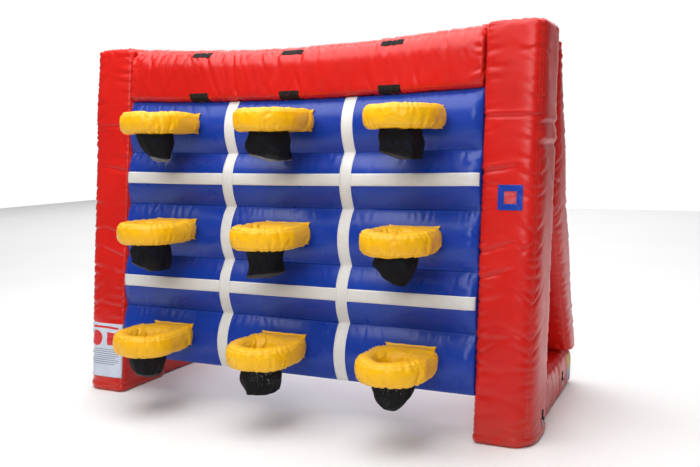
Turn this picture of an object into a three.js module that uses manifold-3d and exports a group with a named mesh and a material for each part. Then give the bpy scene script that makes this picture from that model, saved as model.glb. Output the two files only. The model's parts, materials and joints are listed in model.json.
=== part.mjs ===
// An inflated tic tac toe toss game. Two A-shaped side frames of coated-fabric chambers hold a leaning wall
// of five horizontal chambers with a beam across its top, which both sag a little towards their middle. White
// tapes divide the wall into nine cells, and each cell has an inflated D-shaped hoop with a mesh bag sewn
// under it. Every chamber is a hollow skin, and round air ports join it to its neighbours.
// Millimetres. X runs across the game, Y from the players towards the back, and Z up.
import * as THREE from "three";
import { LoftGeometry } from "three/addons/geometries/LoftGeometry.js";
import { mergeVertices } from "three/addons/utils/BufferGeometryUtils.js";
import Module from "manifold-3d";

const wasm = await Module();
wasm.setup();

// Driving dimensions.
const GAP = 0.3; // between faces that are sewn or laid together
const SKIN = 6; // a chamber's wall, drawn thicker than the fabric so that it is a solid
const SHEET = 2; // a patch or panel sewn on a chamber
const LEAN = THREE.MathUtils.degToRad(6.07); // of the front, away from the players

const COLUMN = { inner: 1326, outer: 1690, front: -35, rear: 480, height: 2530, foot: 30, crown: 40 };
const COLUMN_POWER = { foot: 3, crown: 5 }; // how square its outer corners are
const REAR_LEG = { inner: 1338, outer: 1680, height: 2440, apex: 1380 };
const REAR_LEG_Y = { footFront: 1280, footRear: 1506, topRear: 815 };
const BASE = { inner: 1340, outer: 1640, height: 285, rear: 1534, round: 45 };
const WALL = { bottom: 275.5, rolls: 5, rollHeight: 373.3, depth: 220, bulge: 70 };
const WALL_SAG = { top: 30, from: 800 }; // how far the top of the wall hangs down in its middle
const BEAM = { front: -50, rear: 480, height: 420, sag: 35, round: 20 }; // sag: how much lower its middle is
const HOOP = { radius: 223, hole: 100, height: 148, fromWall: 356, backReach: 312 };
const HOOP_ROW = { first: 490, pitch: 733 };
const HOOP_COLUMN = { pitch: 893, shift: 34 };
const NET = { mouth: 126, wall: 3, seam: 6 };
const TAPE = { width: 80, uprightX: 445.5, upright: 1, level: 2.6 };
const PATCH = { width: 150, height: 50, pitch: 720 };
const PATCH_ROWS = {
  lower: { u: -50, rise: 0.07, tilt: 0, reach: 26 }, // rise: a share of the beam's height
  upper: { u: -18, rise: 0.84, tilt: THREE.MathUtils.degToRad(39), reach: 60 },
};
const WINDOW = { x: 1512, z: 1472, outer: 150, clear: 75 };
const SAFETY_PANEL = { bottom: 100, height: 410, reach: 150 };
const SIDE_PANEL = { y: 1440, z: 138, length: 130, height: 190 };
const FOOT_BAND = 65;
const PORT = { radius: 60, half: 18, legY: 1393, apexZ: 1800, beamU: 200 }; // between chambers
const RING = { wire: 3, halfBar: 20, halfWidth: 27, drop: 38 };
const TAB = { width: 30, eyeOuter: 6.4, eyeInner: 3.9, plate: 3, rise: 60, standOff: 5.7, height: 104 };
const TAB_Y = { front: 262, rear: 1180 };
const SLEEVE = { radius: 108, wall: 3, length: 180, sides: 24, strapWidth: 25, strapFrom: 120, strap: 2.4 };
const ZIP = { x: 640, length: 600, tape: 50, tapeThick: 1.5, teeth: 6, teethHigh: 3 };
const SLIDER = { length: 24, height: 14 };
const FLAP = { length: 660, height: 84, thick: 2, standOff: 14, top: 42, header: 12 };

const SECTION_POINTS = 20;
const ARC_STEPS = 8; // facets of each roll's face
const END_STEPS = 3; // stations in a rounded end
const MIDDLE_Y = 240; // splits the front of a chamber from its back
const FAR = 3000; // further than any part of the game

const COLOURS = {
  red: { color: 0xc8201a, roughness: 0.38 },
  blue: { color: 0x1c3f9c, roughness: 0.35 },
  yellow: { color: 0xf0b414, roughness: 0.36 },
  white: { color: 0xdedcd4, roughness: 0.45 },
  black: { color: 0x141416, roughness: 0.8 },
  mesh: { color: 0x101218, roughness: 0.9 },
  clear: { color: 0x86a0c8, roughness: 0.15 },
  steel: { color: 0xb8bcc0, roughness: 0.3, metalness: 1 },
};

const game = new THREE.Group();

function add(name, colour, made, mirrored = false) {
  const mesh = new THREE.Mesh(geometryOf(made), new THREE.MeshStandardMaterial(COLOURS[colour]));
  mesh.name = name;
  mesh.scale.x = mirrored ? -1 : 1;
  game.add(mesh);
}

function solidOf(geometry) {
  const bare = new THREE.BufferGeometry();
  bare.setAttribute("position", geometry.getAttribute("position"));
  bare.setIndex(geometry.index);
  const merged = mergeVertices(bare, 1e-3);
  return new wasm.Manifold(
    new wasm.Mesh({
      numProp: 3,
      vertProperties: new Float32Array(merged.attributes.position.array),
      triVerts: new Uint32Array(merged.index.array),
    }),
  );
}

function geometryOf(made) {
  const mesh = made.getMesh();
  const geometry = new THREE.BufferGeometry();
  geometry.setAttribute("position", new THREE.BufferAttribute(mesh.vertProperties, 3));
  geometry.setIndex(new THREE.BufferAttribute(mesh.triVerts, 1));
  geometry.computeVertexNormals();
  return geometry;
}

function box(low, high) {
  const size = high.map((value, i) => value - low[i]);
  const middle = high.map((value, i) => (value + low[i]) / 2);
  return new THREE.BoxGeometry(...size).translate(...middle);
}

// A box in the wall's leaning frame: u runs back from the wall's seams and v up along them.
function leaningBox(lowX, highX, lowU, highU, lowV, highV) {
  return solidOf(box([lowX, lowU, lowV], [highX, highU, highV]).rotateX(-LEAN));
}

function rod(radius, start, end, sides = 12) {
  const along = new THREE.Vector3().subVectors(end, start);
  const upright = new THREE.Vector3(0, 1, 0);
  const turn = new THREE.Quaternion().setFromUnitVectors(upright, along.clone().normalize());
  const middle = start.clone().addScaledVector(along, 0.5);
  const geometry = new THREE.CylinderGeometry(radius, radius, along.length(), sides);
  return solidOf(geometry.applyQuaternion(turn).translate(middle.x, middle.y, middle.z));
}

// The points of a rounded box section, as [a, b] pairs. A power of 2 is an ellipse and higher ones are
// squarer; nearPower shapes the side towards -a, and farPower the side towards +a.
function section(halfA, halfB, nearPower, farPower, count = SECTION_POINTS) {
  const step = (2 * Math.PI) / count;
  const points = [];
  for (let i = 0; i < count; i++) {
    const angle = (i + 0.5) * step;
    const power = Math.cos(angle) < 0 ? nearPower : farPower;
    const reach = Math.cos(step / 2) ** (-2 / power);
    const a = Math.sign(Math.cos(angle)) * Math.abs(Math.cos(angle)) ** (2 / power);
    const b = Math.sign(Math.sin(angle)) * Math.abs(Math.sin(angle)) ** (2 / power);
    points.push([halfA * reach * a, halfB * reach * b]);
  }
  return points;
}

// Stations along a chamber. At a rounded end the section is drawn in by up to the round's radius.
function stations(start, end, startRound, endRound, middles) {
  const rows = middles.map((at) => ({ at, inset: 0 }));
  for (let i = 0; i <= (startRound ? END_STEPS : 0); i++) {
    const angle = (Math.PI / 2) * (i / END_STEPS);
    rows.push({ at: start + startRound * (1 - Math.cos(angle)), inset: startRound * (1 - Math.sin(angle)) });
  }
  for (let i = 0; i <= (endRound ? END_STEPS : 0); i++) {
    const angle = (Math.PI / 2) * (i / END_STEPS);
    rows.push({ at: end - endRound * (1 - Math.cos(angle)), inset: endRound * (1 - Math.sin(angle)) });
  }
  return rows.sort((one, other) => one.at - other.at);
}

function loft(sections) {
  return solidOf(new LoftGeometry(sections, { capStart: true, capEnd: true }));
}

const point = (x, y, z) => new THREE.Vector3(x, y, z);
const leaning = (x, u, v) =>
  point(x, u * Math.cos(LEAN) + v * Math.sin(LEAN), v * Math.cos(LEAN) - u * Math.sin(LEAN));
const lean = (z) => z * Math.tan(LEAN);

const wallEnd = COLUMN.inner - GAP;
const wallTop = WALL.bottom + WALL.rolls * WALL.rollHeight;
const SAG_STATIONS = [-wallEnd, -1000, -520, 0, 520, 1000, wallEnd];

// How far the wall hangs down at x and v: straight between the stations, so that neighbours stay in contact.
function wallSag(x, v) {
  const share = Math.max(0, (v - WALL_SAG.from) / (wallTop - WALL_SAG.from));
  const curve = (at) => 1 - (at / wallEnd) ** 2;
  const reach = Math.min(Math.abs(x), wallEnd);
  const next = SAG_STATIONS.findIndex((at) => at >= reach);
  const [near, far] = [SAG_STATIONS[Math.max(next - 1, 0)], SAG_STATIONS[next]];
  const along = (reach - near) / (far - near);
  return WALL_SAG.top * share ** 2 * THREE.MathUtils.lerp(curve(near), curve(far), along);
}

const onWall = (x, u, v) => leaning(x, u, v - wallSag(x, v));

// Each side chamber is drawn on the right. Growth moves its whole surface out, or in where it is negative.
function column(growth) {
  const halfWidth = (COLUMN.outer - COLUMN.inner) / 2;
  const halfDepth = (COLUMN.rear - COLUMN.front) / 2;
  const rows = stations(-growth, COLUMN.height + growth, COLUMN.foot, COLUMN.crown, [COLUMN.height / 2]);
  return loft(
    rows.map(({ at, inset }) => {
      const power = THREE.MathUtils.lerp(COLUMN_POWER.foot, COLUMN_POWER.crown, at / COLUMN.height);
      return section(halfWidth + growth - inset, halfDepth + growth - inset, 12, power).map(([x, y]) =>
        point(COLUMN.inner + halfWidth + x, COLUMN.front + halfDepth + lean(at) + y, at),
      );
    }),
  );
}

function rearLegDepth(z) {
  const footTop = BASE.height;
  const apexFront = COLUMN.rear + lean(REAR_LEG.apex);
  const rise = (z - footTop) / (REAR_LEG.apex - footTop);
  const front = THREE.MathUtils.lerp(REAR_LEG_Y.footFront, apexFront, Math.min(rise, 1));
  const climb = (z - footTop) / (REAR_LEG.height - footTop);
  const rear = THREE.MathUtils.lerp(REAR_LEG_Y.footRear, REAR_LEG_Y.topRear, climb);
  return [rise < 1 ? front : COLUMN.rear + lean(z) - GAP, rear];
}

function rearLeg(growth) {
  const halfWidth = (REAR_LEG.outer - REAR_LEG.inner) / 2;
  const start = BASE.height + GAP - growth;
  const rows = stations(start, REAR_LEG.height + growth, 20, 25, [800, REAR_LEG.apex, 1900]);
  const whole = loft(
    rows.map(({ at, inset }) => {
      const [front, rear] = rearLegDepth(at);
      const halfDepth = (rear - front) / 2;
      return section(halfWidth + growth - inset, halfDepth + growth - inset, 5, 4).map(([x, y]) =>
        point(REAR_LEG.inner + halfWidth + x, front + halfDepth + y, at),
      );
    }),
  );
  return whole.subtract(column(GAP - growth));
}

function baseTube(growth) {
  const halfWidth = (BASE.outer - BASE.inner) / 2;
  const halfHeight = BASE.height / 2;
  const rows = stations(COLUMN.rear - GAP, BASE.rear + growth, 0, BASE.round, [BASE.rear / 2]);
  const whole = loft(
    rows.map(({ at, inset }) =>
      section(halfHeight + growth - inset, halfWidth + growth - inset, 12, 4).map(([z, x]) =>
        point(BASE.inner + halfWidth + x, at, halfHeight + z),
      ),
    ),
  );
  return whole.subtract(column(GAP - growth));
}

// The bottom and the height of the beam at x, along the lean.
function beamSpan(x) {
  const hang = wallSag(x, wallTop);
  return [wallTop + GAP - hang, BEAM.height - (BEAM.sag * hang) / WALL_SAG.top];
}

function beam(growth) {
  const halfDepth = (BEAM.rear - BEAM.front) / 2;
  const end = wallEnd + growth;
  const rows = stations(-end, end, BEAM.round, BEAM.round, SAG_STATIONS.slice(1, -1));
  return loft(
    rows.map(({ at, inset }) => {
      const [bottom, height] = beamSpan(at);
      return section(height / 2 + growth - inset, halfDepth + growth - inset, 12, 3).map(([v, u]) =>
        leaning(at, BEAM.front + halfDepth - u, bottom + height / 2 + v),
      );
    }),
  );
}

// How far the wall's face stands out from its seams at v along the lean.
function bulgeAt(v) {
  const along = (v - WALL.bottom) / WALL.rollHeight;
  const across = 2 * (along - Math.floor(along)) - 1;
  return WALL.bulge * (1 - across ** 2);
}

function roll(index, growth) {
  const end = wallEnd + growth;
  const bottom = WALL.bottom + index * WALL.rollHeight;
  const low = bottom + GAP / 2 - growth;
  const high = bottom + WALL.rollHeight - GAP / 2 + growth;
  const front = [];
  const back = [];
  for (let i = 0; i <= ARC_STEPS; i++) {
    const v = THREE.MathUtils.lerp(low, high, i / ARC_STEPS);
    const out = bulgeAt(bottom + (WALL.rollHeight * i) / ARC_STEPS) + growth;
    front.push([-out, v]);
    back.unshift([WALL.depth + out, v]);
  }
  const outline = [...front, ...back].reverse();
  const levels = [-end, ...SAG_STATIONS.slice(1, -1), end];
  return loft(levels.map((x) => outline.map(([u, v]) => onWall(x, u, v))));
}

function hollow(chamber, ports) {
  return ports.reduce((skin, port) => skin.subtract(port), chamber(0).subtract(chamber(-SKIN)));
}

// Ports between the right-hand chambers and their neighbours.
function portThrough(x, y, z, direction) {
  const half = direction.clone().multiplyScalar(PORT.half);
  return rod(PORT.radius, point(x, y, z).sub(half), point(x, y, z).add(half));
}

const ACROSS = point(1, 0, 0);
const BACK = point(0, 1, 0);
const UP = point(0, 0, 1);
const columnMiddleY = (z) => (COLUMN.front + COLUMN.rear) / 2 + lean(z);
const rollCrown = (index) => WALL.bottom + (index + 0.5) * WALL.rollHeight;
const rollMiddle = (index) => leaning(COLUMN.inner, WALL.depth / 2, rollCrown(index));
const beamMiddle = leaning(COLUMN.inner, PORT.beamU, wallTop + BEAM.height / 2);
const sideMiddleX = (BASE.inner + BASE.outer) / 2;
const rollIndices = [...Array(WALL.rolls).keys()];
const rollPorts = rollIndices.map((index) => {
  const { y, z } = rollMiddle(index);
  return portThrough(COLUMN.inner, y, z, ACROSS);
});
const beamPort = portThrough(COLUMN.inner, beamMiddle.y, beamMiddle.z, ACROSS);
const footPort = portThrough(sideMiddleX, COLUMN.rear + lean(BASE.height / 2), BASE.height / 2, BACK);
const legPort = portThrough(sideMiddleX, PORT.legY, BASE.height, UP);
const apexPort = portThrough(sideMiddleX, COLUMN.rear + lean(PORT.apexZ), PORT.apexZ, BACK);
const inletPort = rod(
  SLEEVE.radius - SLEEVE.wall,
  point(sideMiddleX, BASE.rear - BASE.round, BASE.height / 2),
  point(sideMiddleX, BASE.rear + BASE.round, BASE.height / 2),
  SLEEVE.sides,
);
const mirrorOf = (solid) => solid.mirror([1, 0, 0]);

function addChambers() {
  const columnSkin = hollow(column, [...rollPorts, beamPort, footPort, apexPort]);
  const legSkin = hollow(rearLeg, [apexPort, legPort]);
  const baseSkin = hollow(baseTube, [footPort, legPort]);
  for (const [side, mirrored] of [["right", false], ["left", true]]) {
    add(`column_${side}`, "red", columnSkin, mirrored);
    add(`rear_leg_${side}`, "red", legSkin, mirrored);
    add(`base_tube_${side}`, "red", mirrored ? baseSkin.subtract(inletPort) : baseSkin, mirrored);
  }
  add("top_beam", "red", hollow(beam, [beamPort, mirrorOf(beamPort)]));
  for (const index of rollIndices) {
    const ports = [rollPorts[index], mirrorOf(rollPorts[index])];
    add(`wall_roll_${index + 1}`, "blue", hollow((growth) => roll(index, growth), ports));
  }
}

// A hoop is a fat ring around a round hole, round towards the players and square towards the wall.
function hoop(x, z) {
  const steps = 24;
  const sides = 8;
  const sections = [];
  for (let i = 0; i <= steps; i++) {
    const angle = (2 * Math.PI * i) / steps;
    const [toBack, toSide] = [Math.sin(angle), Math.cos(angle)];
    const power = toBack > 0 ? 4 : 2;
    const reach = toBack > 0 ? HOOP.backReach : HOOP.radius;
    const outer = [
      Math.sign(toSide) * HOOP.radius * Math.abs(toSide) ** (2 / power),
      Math.sign(toBack) * reach * Math.abs(toBack) ** (2 / power),
    ];
    const inner = [HOOP.hole * toSide, HOOP.hole * toBack];
    const ring = section(HOOP.height / 2, 0.5, 3, 3, sides).map(([up, out]) => {
      const share = out + 0.5;
      return point(
        x + THREE.MathUtils.lerp(inner[0], outer[0], share),
        lean(z) - HOOP.fromWall + THREE.MathUtils.lerp(inner[1], outer[1], share),
        z + up,
      );
    });
    sections.push(ring);
  }
  return solidOf(new LoftGeometry(sections));
}

// A mesh bag of the given depth and floor radius, open at the top.
function net(x, z, depth, floor) {
  const across = (NET.mouth - (HOOP.hole + HOOP.radius) / 2) / ((HOOP.radius - HOOP.hole) / 2);
  const underside = (HOOP.height / 2) * (1 - Math.abs(across) ** 3) ** (1 / 3);
  const top = -underside - NET.seam;
  const bottom = -HOOP.height / 2 - depth;
  const waist = THREE.MathUtils.lerp(bottom, top, 0.3);
  const waistRadius = THREE.MathUtils.lerp(floor, NET.mouth, 0.45);
  const profile = [
    [0, bottom],
    [floor, bottom],
    [waistRadius, waist],
    [NET.mouth, top],
    [NET.mouth - NET.wall, top],
    [waistRadius - NET.wall, waist],
    [floor - NET.wall, bottom + NET.wall],
    [0, bottom + NET.wall],
  ].map(([radius, height]) => new THREE.Vector2(radius, height));
  const bag = new THREE.LatheGeometry(profile, 20).rotateX(Math.PI / 2);
  return solidOf(bag.translate(x, lean(z) - HOOP.fromWall, z));
}

// The bags are sewn by hand and hang unevenly: each has its own depth and floor radius.
const BAGS = [
  { row: "bottom", sizes: { left: [172, 86], middle: [190, 94], right: [186, 66] } },
  { row: "middle", sizes: { left: [176, 100], middle: [188, 100], right: [184, 70] } },
  { row: "top", sizes: { left: [186, 84], middle: [182, 106], right: [176, 102] } },
];

function addBaskets() {
  BAGS.forEach(({ row, sizes }, level) => {
    const z = HOOP_ROW.first + level * HOOP_ROW.pitch;
    Object.entries(sizes).forEach(([place, [depth, floor]], file) => {
      const x = (file - 1) * HOOP_COLUMN.pitch + HOOP_COLUMN.shift;
      add(`hoop_${row}_${place}`, "yellow", hoop(x, z).subtract(roll(2 * level, GAP)));
      add(`net_${row}_${place}`, "mesh", net(x, z, depth, floor));
    });
  });
}

// Strips that lie on the wall's face, between two heights above it: one up the wall and one across it.
function upStrip(lowX, highX, levels, under, over) {
  return loft(
    levels.map((v) => {
      const [front, back] = [-bulgeAt(v) - over, -bulgeAt(v) - under];
      return [onWall(lowX, front, v), onWall(highX, front, v), onWall(highX, back, v), onWall(lowX, back, v)];
    }),
  );
}

function levelStrip(levels, under, over) {
  const face = (x, height, rows) => rows.map((v) => onWall(x, -bulgeAt(v) - height, v));
  return loft(SAG_STATIONS.map((x) => [...face(x, under, levels), ...face(x, over, [...levels].reverse())]));
}

// An upright tape bends where the rolls' facets meet, so that it lies on them all the way up.
function uprightTape(middle, spare, under, over) {
  const steps = WALL.rolls * ARC_STEPS;
  const levels = Array.from({ length: steps + 1 }, (_, i) => WALL.bottom + (WALL.rollHeight * i) / ARC_STEPS);
  const half = TAPE.width / 2 + spare;
  return upStrip(middle - half, middle + half, levels, under, over);
}

function addTapes() {
  const over = GAP + TAPE.upright;
  const middles = [-TAPE.uprightX, TAPE.uprightX];
  add("tape_upright_left", "white", uprightTape(middles[0], 0, GAP, over));
  add("tape_upright_right", "white", uprightTape(middles[1], 0, GAP, over));
  for (const [name, index] of [["lower", 1], ["upper", 3]]) {
    const crown = rollCrown(index);
    const levels = [crown - TAPE.width / 2, crown, crown + TAPE.width / 2];
    const whole = levelStrip(levels, GAP, GAP + TAPE.level);
    const level = middles.reduce((tape, x) => tape.subtract(uprightTape(x, GAP, -SHEET, over + GAP)), whole);
    add(`tape_level_${name}`, "white", level);
  }
}

// The layer that a sheet sewn on a chamber fills within a region.
function applied(chamber, region, thickness = SHEET) {
  return chamber(GAP + thickness).subtract(chamber(GAP)).intersect(region);
}

function frontRegion(x, z, width, height, lowX = x - width / 2) {
  return solidOf(box([lowX, -FAR, z], [lowX + width, MIDDLE_Y, z + height]));
}

// The patches face the players, and the upper ones are tilted up to where the beam's front turns over.
function addPatches() {
  const places = { left: -1, middle: 0, right: 1 };
  const [halfWidth, halfHeight] = [PATCH.width / 2, PATCH.height / 2];
  for (const [level, { u, rise, tilt, reach }] of Object.entries(PATCH_ROWS))
    for (const [place, step] of Object.entries(places)) {
      const x = step * PATCH.pitch;
      const [bottom, height] = beamSpan(x);
      const slab = box([x - halfWidth, -FAR, -halfHeight], [x + halfWidth, reach, halfHeight]);
      const region = slab.rotateX(-tilt).translate(0, u, bottom + rise * height).rotateX(-LEAN);
      add(`hook_patch_${level}_${place}`, "black", applied(beam, solidOf(region)));
    }
}

function addPanels() {
  const { x, z, outer, clear } = WINDOW;
  const opening = (size) => frontRegion(x, z - size / 2, size, size);
  add("window_frame", "blue", applied(column, opening(outer).subtract(opening(clear))));
  add("window_pane", "clear", applied(column, opening(clear - 2 * GAP)));
  const { bottom, reach } = SAFETY_PANEL;
  const front = box([COLUMN.inner, -FAR, bottom], [FAR, reach, bottom + SAFETY_PANEL.height]);
  add("safety_panel", "white", applied(column, solidOf(front)), true);
  const side = SIDE_PANEL;
  const [near, low] = [side.y - side.length / 2, side.z - side.height / 2];
  const outside = box([sideMiddleX, near, low], [FAR, near + side.length, low + side.height]);
  add("side_panel", "yellow", applied(baseTube, solidOf(outside)));
}

function addFootBands() {
  const around = solidOf(box([0, -FAR, 0], [FAR, FAR, FOOT_BAND]));
  const band = applied(column, around).subtract(baseTube(GAP));
  add("foot_band_right", "red", band);
  add("foot_band_left", "red", band, true);
}

// A wire ring in a plane of constant x. Its straight bar runs along y through the point, and its bow hangs.
function dRing(x, y, z) {
  const route = [-1, -0.5, 0, 0.5, 1].map((share) => point(x, y + share * RING.halfBar, z));
  const bends = 6;
  for (let i = 0; i <= bends; i++) {
    const angle = THREE.MathUtils.degToRad(THREE.MathUtils.lerp(8, 172, i / bends));
    const sink = RING.wire + (RING.drop - RING.wire) * Math.sin(angle);
    route.push(point(x, y + RING.halfWidth * Math.cos(angle), z - sink));
  }
  const path = new THREE.CatmullRomCurve3(route, true);
  const steps = 22;
  const sides = 6;
  const frames = path.computeFrenetFrames(steps, true);
  const sections = [];
  for (let i = 0; i <= steps; i++) {
    const middle = path.getPointAt((i % steps) / steps);
    const turn = i % steps;
    const ring = [];
    for (let j = 0; j < sides; j++) {
      const angle = (2 * Math.PI * j) / sides;
      ring.push(
        middle
          .clone()
          .addScaledVector(frames.normals[turn], RING.wire * Math.cos(angle))
          .addScaledVector(frames.binormals[turn], RING.wire * Math.sin(angle)),
      );
    }
    sections.push(ring);
  }
  return solidOf(new LoftGeometry(sections));
}

// A webbing tab sewn flat on the side of a chamber, with an eye at its foot for the ring's bar.
function webbingTab(chamber, faceX, y) {
  const eyeX = faceX + TAB.standOff;
  const half = TAB.width / 2;
  const plate = solidOf(
    box([faceX - MIDDLE_Y / 2, y - half, TAB.height], [faceX + TAB.plate, y + half, TAB.height + TAB.rise]),
  );
  const along = (radius, reach) =>
    rod(radius, point(eyeX, y - reach, TAB.height), point(eyeX, y + reach, TAB.height));
  const eye = along(TAB.eyeOuter, half);
  const bore = along(TAB.eyeInner, TAB.width);
  return plate.add(eye).subtract(bore).subtract(chamber(GAP));
}

function addAnchors() {
  const places = [
    ["front", column, COLUMN.outer],
    ["rear", baseTube, BASE.outer],
  ];
  for (const [place, chamber, faceX] of places)
    for (const [side, mirrored] of [["right", false], ["left", true]]) {
      const y = TAB_Y[place];
      add(`anchor_tab_${place}_${side}`, "black", webbingTab(chamber, faceX, y), mirrored);
      add(`d_ring_${place}_${side}`, "steel", dRing(faceX + TAB.standOff, y, TAB.height), mirrored);
    }
}

function addInflationSleeve() {
  const z = BASE.height / 2;
  const behind = (distance) => point(sideMiddleX, BASE.rear + distance, z);
  const solid = (radius, from, to) => rod(radius, behind(from), behind(to), SLEEVE.sides);
  const tube = (outer, inner, from, to) =>
    solid(outer, from, to).subtract(solid(inner, from - SHEET, to + SHEET));
  const sleeve = tube(SLEEVE.radius, SLEEVE.radius - SLEEVE.wall, -BASE.round, SLEEVE.length);
  add("inflation_sleeve", "red", sleeve.subtract(baseTube(GAP)), true);
  const inside = SLEEVE.radius + GAP;
  const strap = tube(inside + SLEEVE.strap, inside, SLEEVE.strapFrom, SLEEVE.strapFrom + SLEEVE.strapWidth);
  add("sleeve_strap", "black", strap, true);
}

// The deflation zip lies along the back of the lowest roll, under a flap that hinges on its header.
function addZip() {
  const crownU = WALL.depth + WALL.bulge + GAP;
  const crownV = rollCrown(0);
  const teethU = crownU + ZIP.tapeThick;
  const [low, high] = [ZIP.x - ZIP.length / 2, ZIP.x + ZIP.length / 2];
  const band = (lowX, highX, lowU, highU, height) =>
    leaningBox(lowX, highX, lowU, highU, crownV - height / 2, crownV + height / 2);
  const teeth = band(low, high, teethU - GAP, teethU + ZIP.teethHigh, ZIP.teeth);
  add("zip_tape", "black", band(low, high, crownU, teethU, ZIP.tape).add(teeth));
  const groove = band(low, high, teethU, teethU + ZIP.teethHigh + 2 * GAP, ZIP.teeth + 4 * GAP);
  const sliderBack = teethU + ZIP.teethHigh + SHEET + 2 * GAP;
  const slider = band(low, low + SLIDER.length, teethU + 2 * GAP, sliderBack, SLIDER.height);
  add("zip_slider", "steel", slider.subtract(groove));
  const [flapLow, flapHigh] = [ZIP.x - FLAP.length / 2, ZIP.x + FLAP.length / 2];
  const hingeV = crownV + FLAP.top;
  const flapU = crownU + FLAP.standOff;
  const across = (lowU, lowV, highV) =>
    leaningBox(flapLow, flapHigh, lowU, flapU + FLAP.thick, lowV, highV);
  const header = across(crownU - WALL.bulge, hingeV + GAP, hingeV + FLAP.header);
  add("zip_flap_header", "red", header.subtract(roll(0, GAP)));
  add("zip_flap", "red", across(flapU, hingeV - FLAP.height, hingeV - GAP));
}

addChambers();
addBaskets();
addTapes();
addPatches();
addPanels();
addFootBands();
addAnchors();
addInflationSleeve();
addZip();

// The origin is on the ground under the middle of the game's outline.
const outlineBox = new THREE.Box3().setFromObject(game);
game.position.y = -(outlineBox.min.y + outlineBox.max.y) / 2;

export default game;
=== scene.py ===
"""Looks for an inflated tic tac toe toss game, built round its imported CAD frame.

Metres, in the CAD frame: X across the game, Y from the players towards the back, Z up.
Every chamber is a fine grid over the same outline as its CAD solid, with gathered seams, creases and
stitches.
"""

import json
import math

import bpy
import numpy as np
from mathutils import Matrix, Vector
from mathutils.bvhtree import BVHTree


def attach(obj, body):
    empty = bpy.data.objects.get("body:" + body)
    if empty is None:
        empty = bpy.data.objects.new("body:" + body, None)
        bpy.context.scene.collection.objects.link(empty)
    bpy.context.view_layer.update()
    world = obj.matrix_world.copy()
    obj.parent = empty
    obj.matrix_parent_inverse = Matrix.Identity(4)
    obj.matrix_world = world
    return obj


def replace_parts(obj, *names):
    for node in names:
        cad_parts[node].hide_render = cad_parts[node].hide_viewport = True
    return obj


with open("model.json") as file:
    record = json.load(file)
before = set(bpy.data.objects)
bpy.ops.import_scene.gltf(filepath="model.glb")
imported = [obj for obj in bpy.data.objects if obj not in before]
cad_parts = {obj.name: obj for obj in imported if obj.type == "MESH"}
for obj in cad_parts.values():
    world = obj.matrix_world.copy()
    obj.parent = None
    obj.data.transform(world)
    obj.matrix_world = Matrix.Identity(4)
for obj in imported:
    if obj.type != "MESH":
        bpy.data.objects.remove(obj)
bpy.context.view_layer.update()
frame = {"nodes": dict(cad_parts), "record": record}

# The CAD's driving dimensions, in metres.
LEAN = math.radians(6.07)
FOOT_Y = -0.593553  # the foot of the wall's seams
COLUMN = {"inner": 1.326, "outer": 1.690, "front": -0.035, "rear": 0.480, "height": 2.530}
COLUMN_ENDS = (0.030, 0.040)
COLUMN_POWER = (3, 5)  # how square the outer corners are, at the foot and at the top
REAR_LEG = {"inner": 1.338, "outer": 1.680, "foot_front": 1.280, "foot_rear": 1.506, "top_rear": 0.815}
REAR_LEG_APEX, REAR_LEG_HEIGHT = 1.380, 2.440
BASE = {"inner": 1.340, "outer": 1.640, "height": 0.285, "rear": 1.534}
WALL = {"bottom": 0.2755, "roll": 0.3733, "depth": 0.220, "bulge": 0.070, "rolls": 5}
WALL_TOP = WALL["bottom"] + WALL["rolls"] * WALL["roll"]
WALL_SAG = {"top": 0.030, "from": 0.800}
BEAM = {"front": -0.050, "rear": 0.480, "height": 0.420, "sag": 0.035}
HOOP = {"radius": 0.223, "hole": 0.100, "half_height": 0.074, "from_wall": 0.356, "back_reach": 0.312}
FIRST_HOOP_Z, HOOP_PITCH_Z, HOOP_PITCH_X, HOOP_SHIFT_X = 0.490, 0.733, 0.893, 0.034
NET_MOUTH, NET_TOP = 0.126, -0.071
TAPE_WIDTH, TAPE_X = 0.080, 0.4455
PATCH = {"width": 0.150, "height": 0.050, "pitch": 0.720}
PATCH_ROWS = {
    "lower": {"u": -0.050, "rise": 0.07, "tilt": 0.0},
    "upper": {"u": -0.018, "rise": 0.84, "tilt": math.radians(39)},
}
FACE_LIFT = 0.3  # how far off a surface the rays that lay a sheet on it start
WINDOW = {"x": 1.512, "z": 1.472, "outer": 0.150, "clear": 0.075}
SAFETY_PANEL = {"bottom": 0.100, "top": 0.510, "margin": 0.014, "reach": 0.150}
SIDE_PANEL = {"y": 1.440, "z": 0.138, "length": 0.130, "height": 0.190}
FOOT_BAND = 0.065
RING = {"wire": 0.003, "half_bar": 0.020, "half_width": 0.027, "drop": 0.038}
TAB = {"width": 0.030, "rise": 0.060, "stand_off": 0.0057, "height": 0.104, "eye": 0.0052, "thick": 0.0014}
TAB_Y = {"front": 0.262, "rear": 1.180}
SLEEVE = {"radius": 0.108, "length": 0.180, "inside": 0.030, "strap_from": 0.120, "strap_width": 0.025}
ZIP = {"x": 0.640, "length": 0.600, "tape": 0.050, "tall": 0.014, "slider": 0.024}
FLAP = {"length": 0.660, "height": 0.084, "stand_off": 0.014, "top": 0.042, "header": 0.012}

STEP = 0.012  # between the rings of a chamber
FINE = 2400  # points on the outline that a ring is spaced along
FAR_OFF = 3.0
SHINE = 0.36  # how strongly the coated fabrics reflect
STITCH = {"lines": (0.007, 0.013), "pitch": 0.007, "width": 0.0011}  # lines: how far each is from its seam
RIM = 0.0015  # how far the edge of a laid sheet sinks in
FLANGE = {"half_width": 0.162, "half_height": 0.068}
FLOOR = {"half_size": 18.0, "below": 0.002}


def lean(z):
    return z * math.tan(LEAN)


def leaning(x, u, v):
    """Points at x, u behind the wall's seams and v up along the lean."""
    x, u, v = np.broadcast_arrays(x, u, v)
    y = FOOT_Y + u * math.cos(LEAN) + v * math.sin(LEAN)
    return np.stack([x, y, v * math.cos(LEAN) - u * math.sin(LEAN)], -1)


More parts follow.
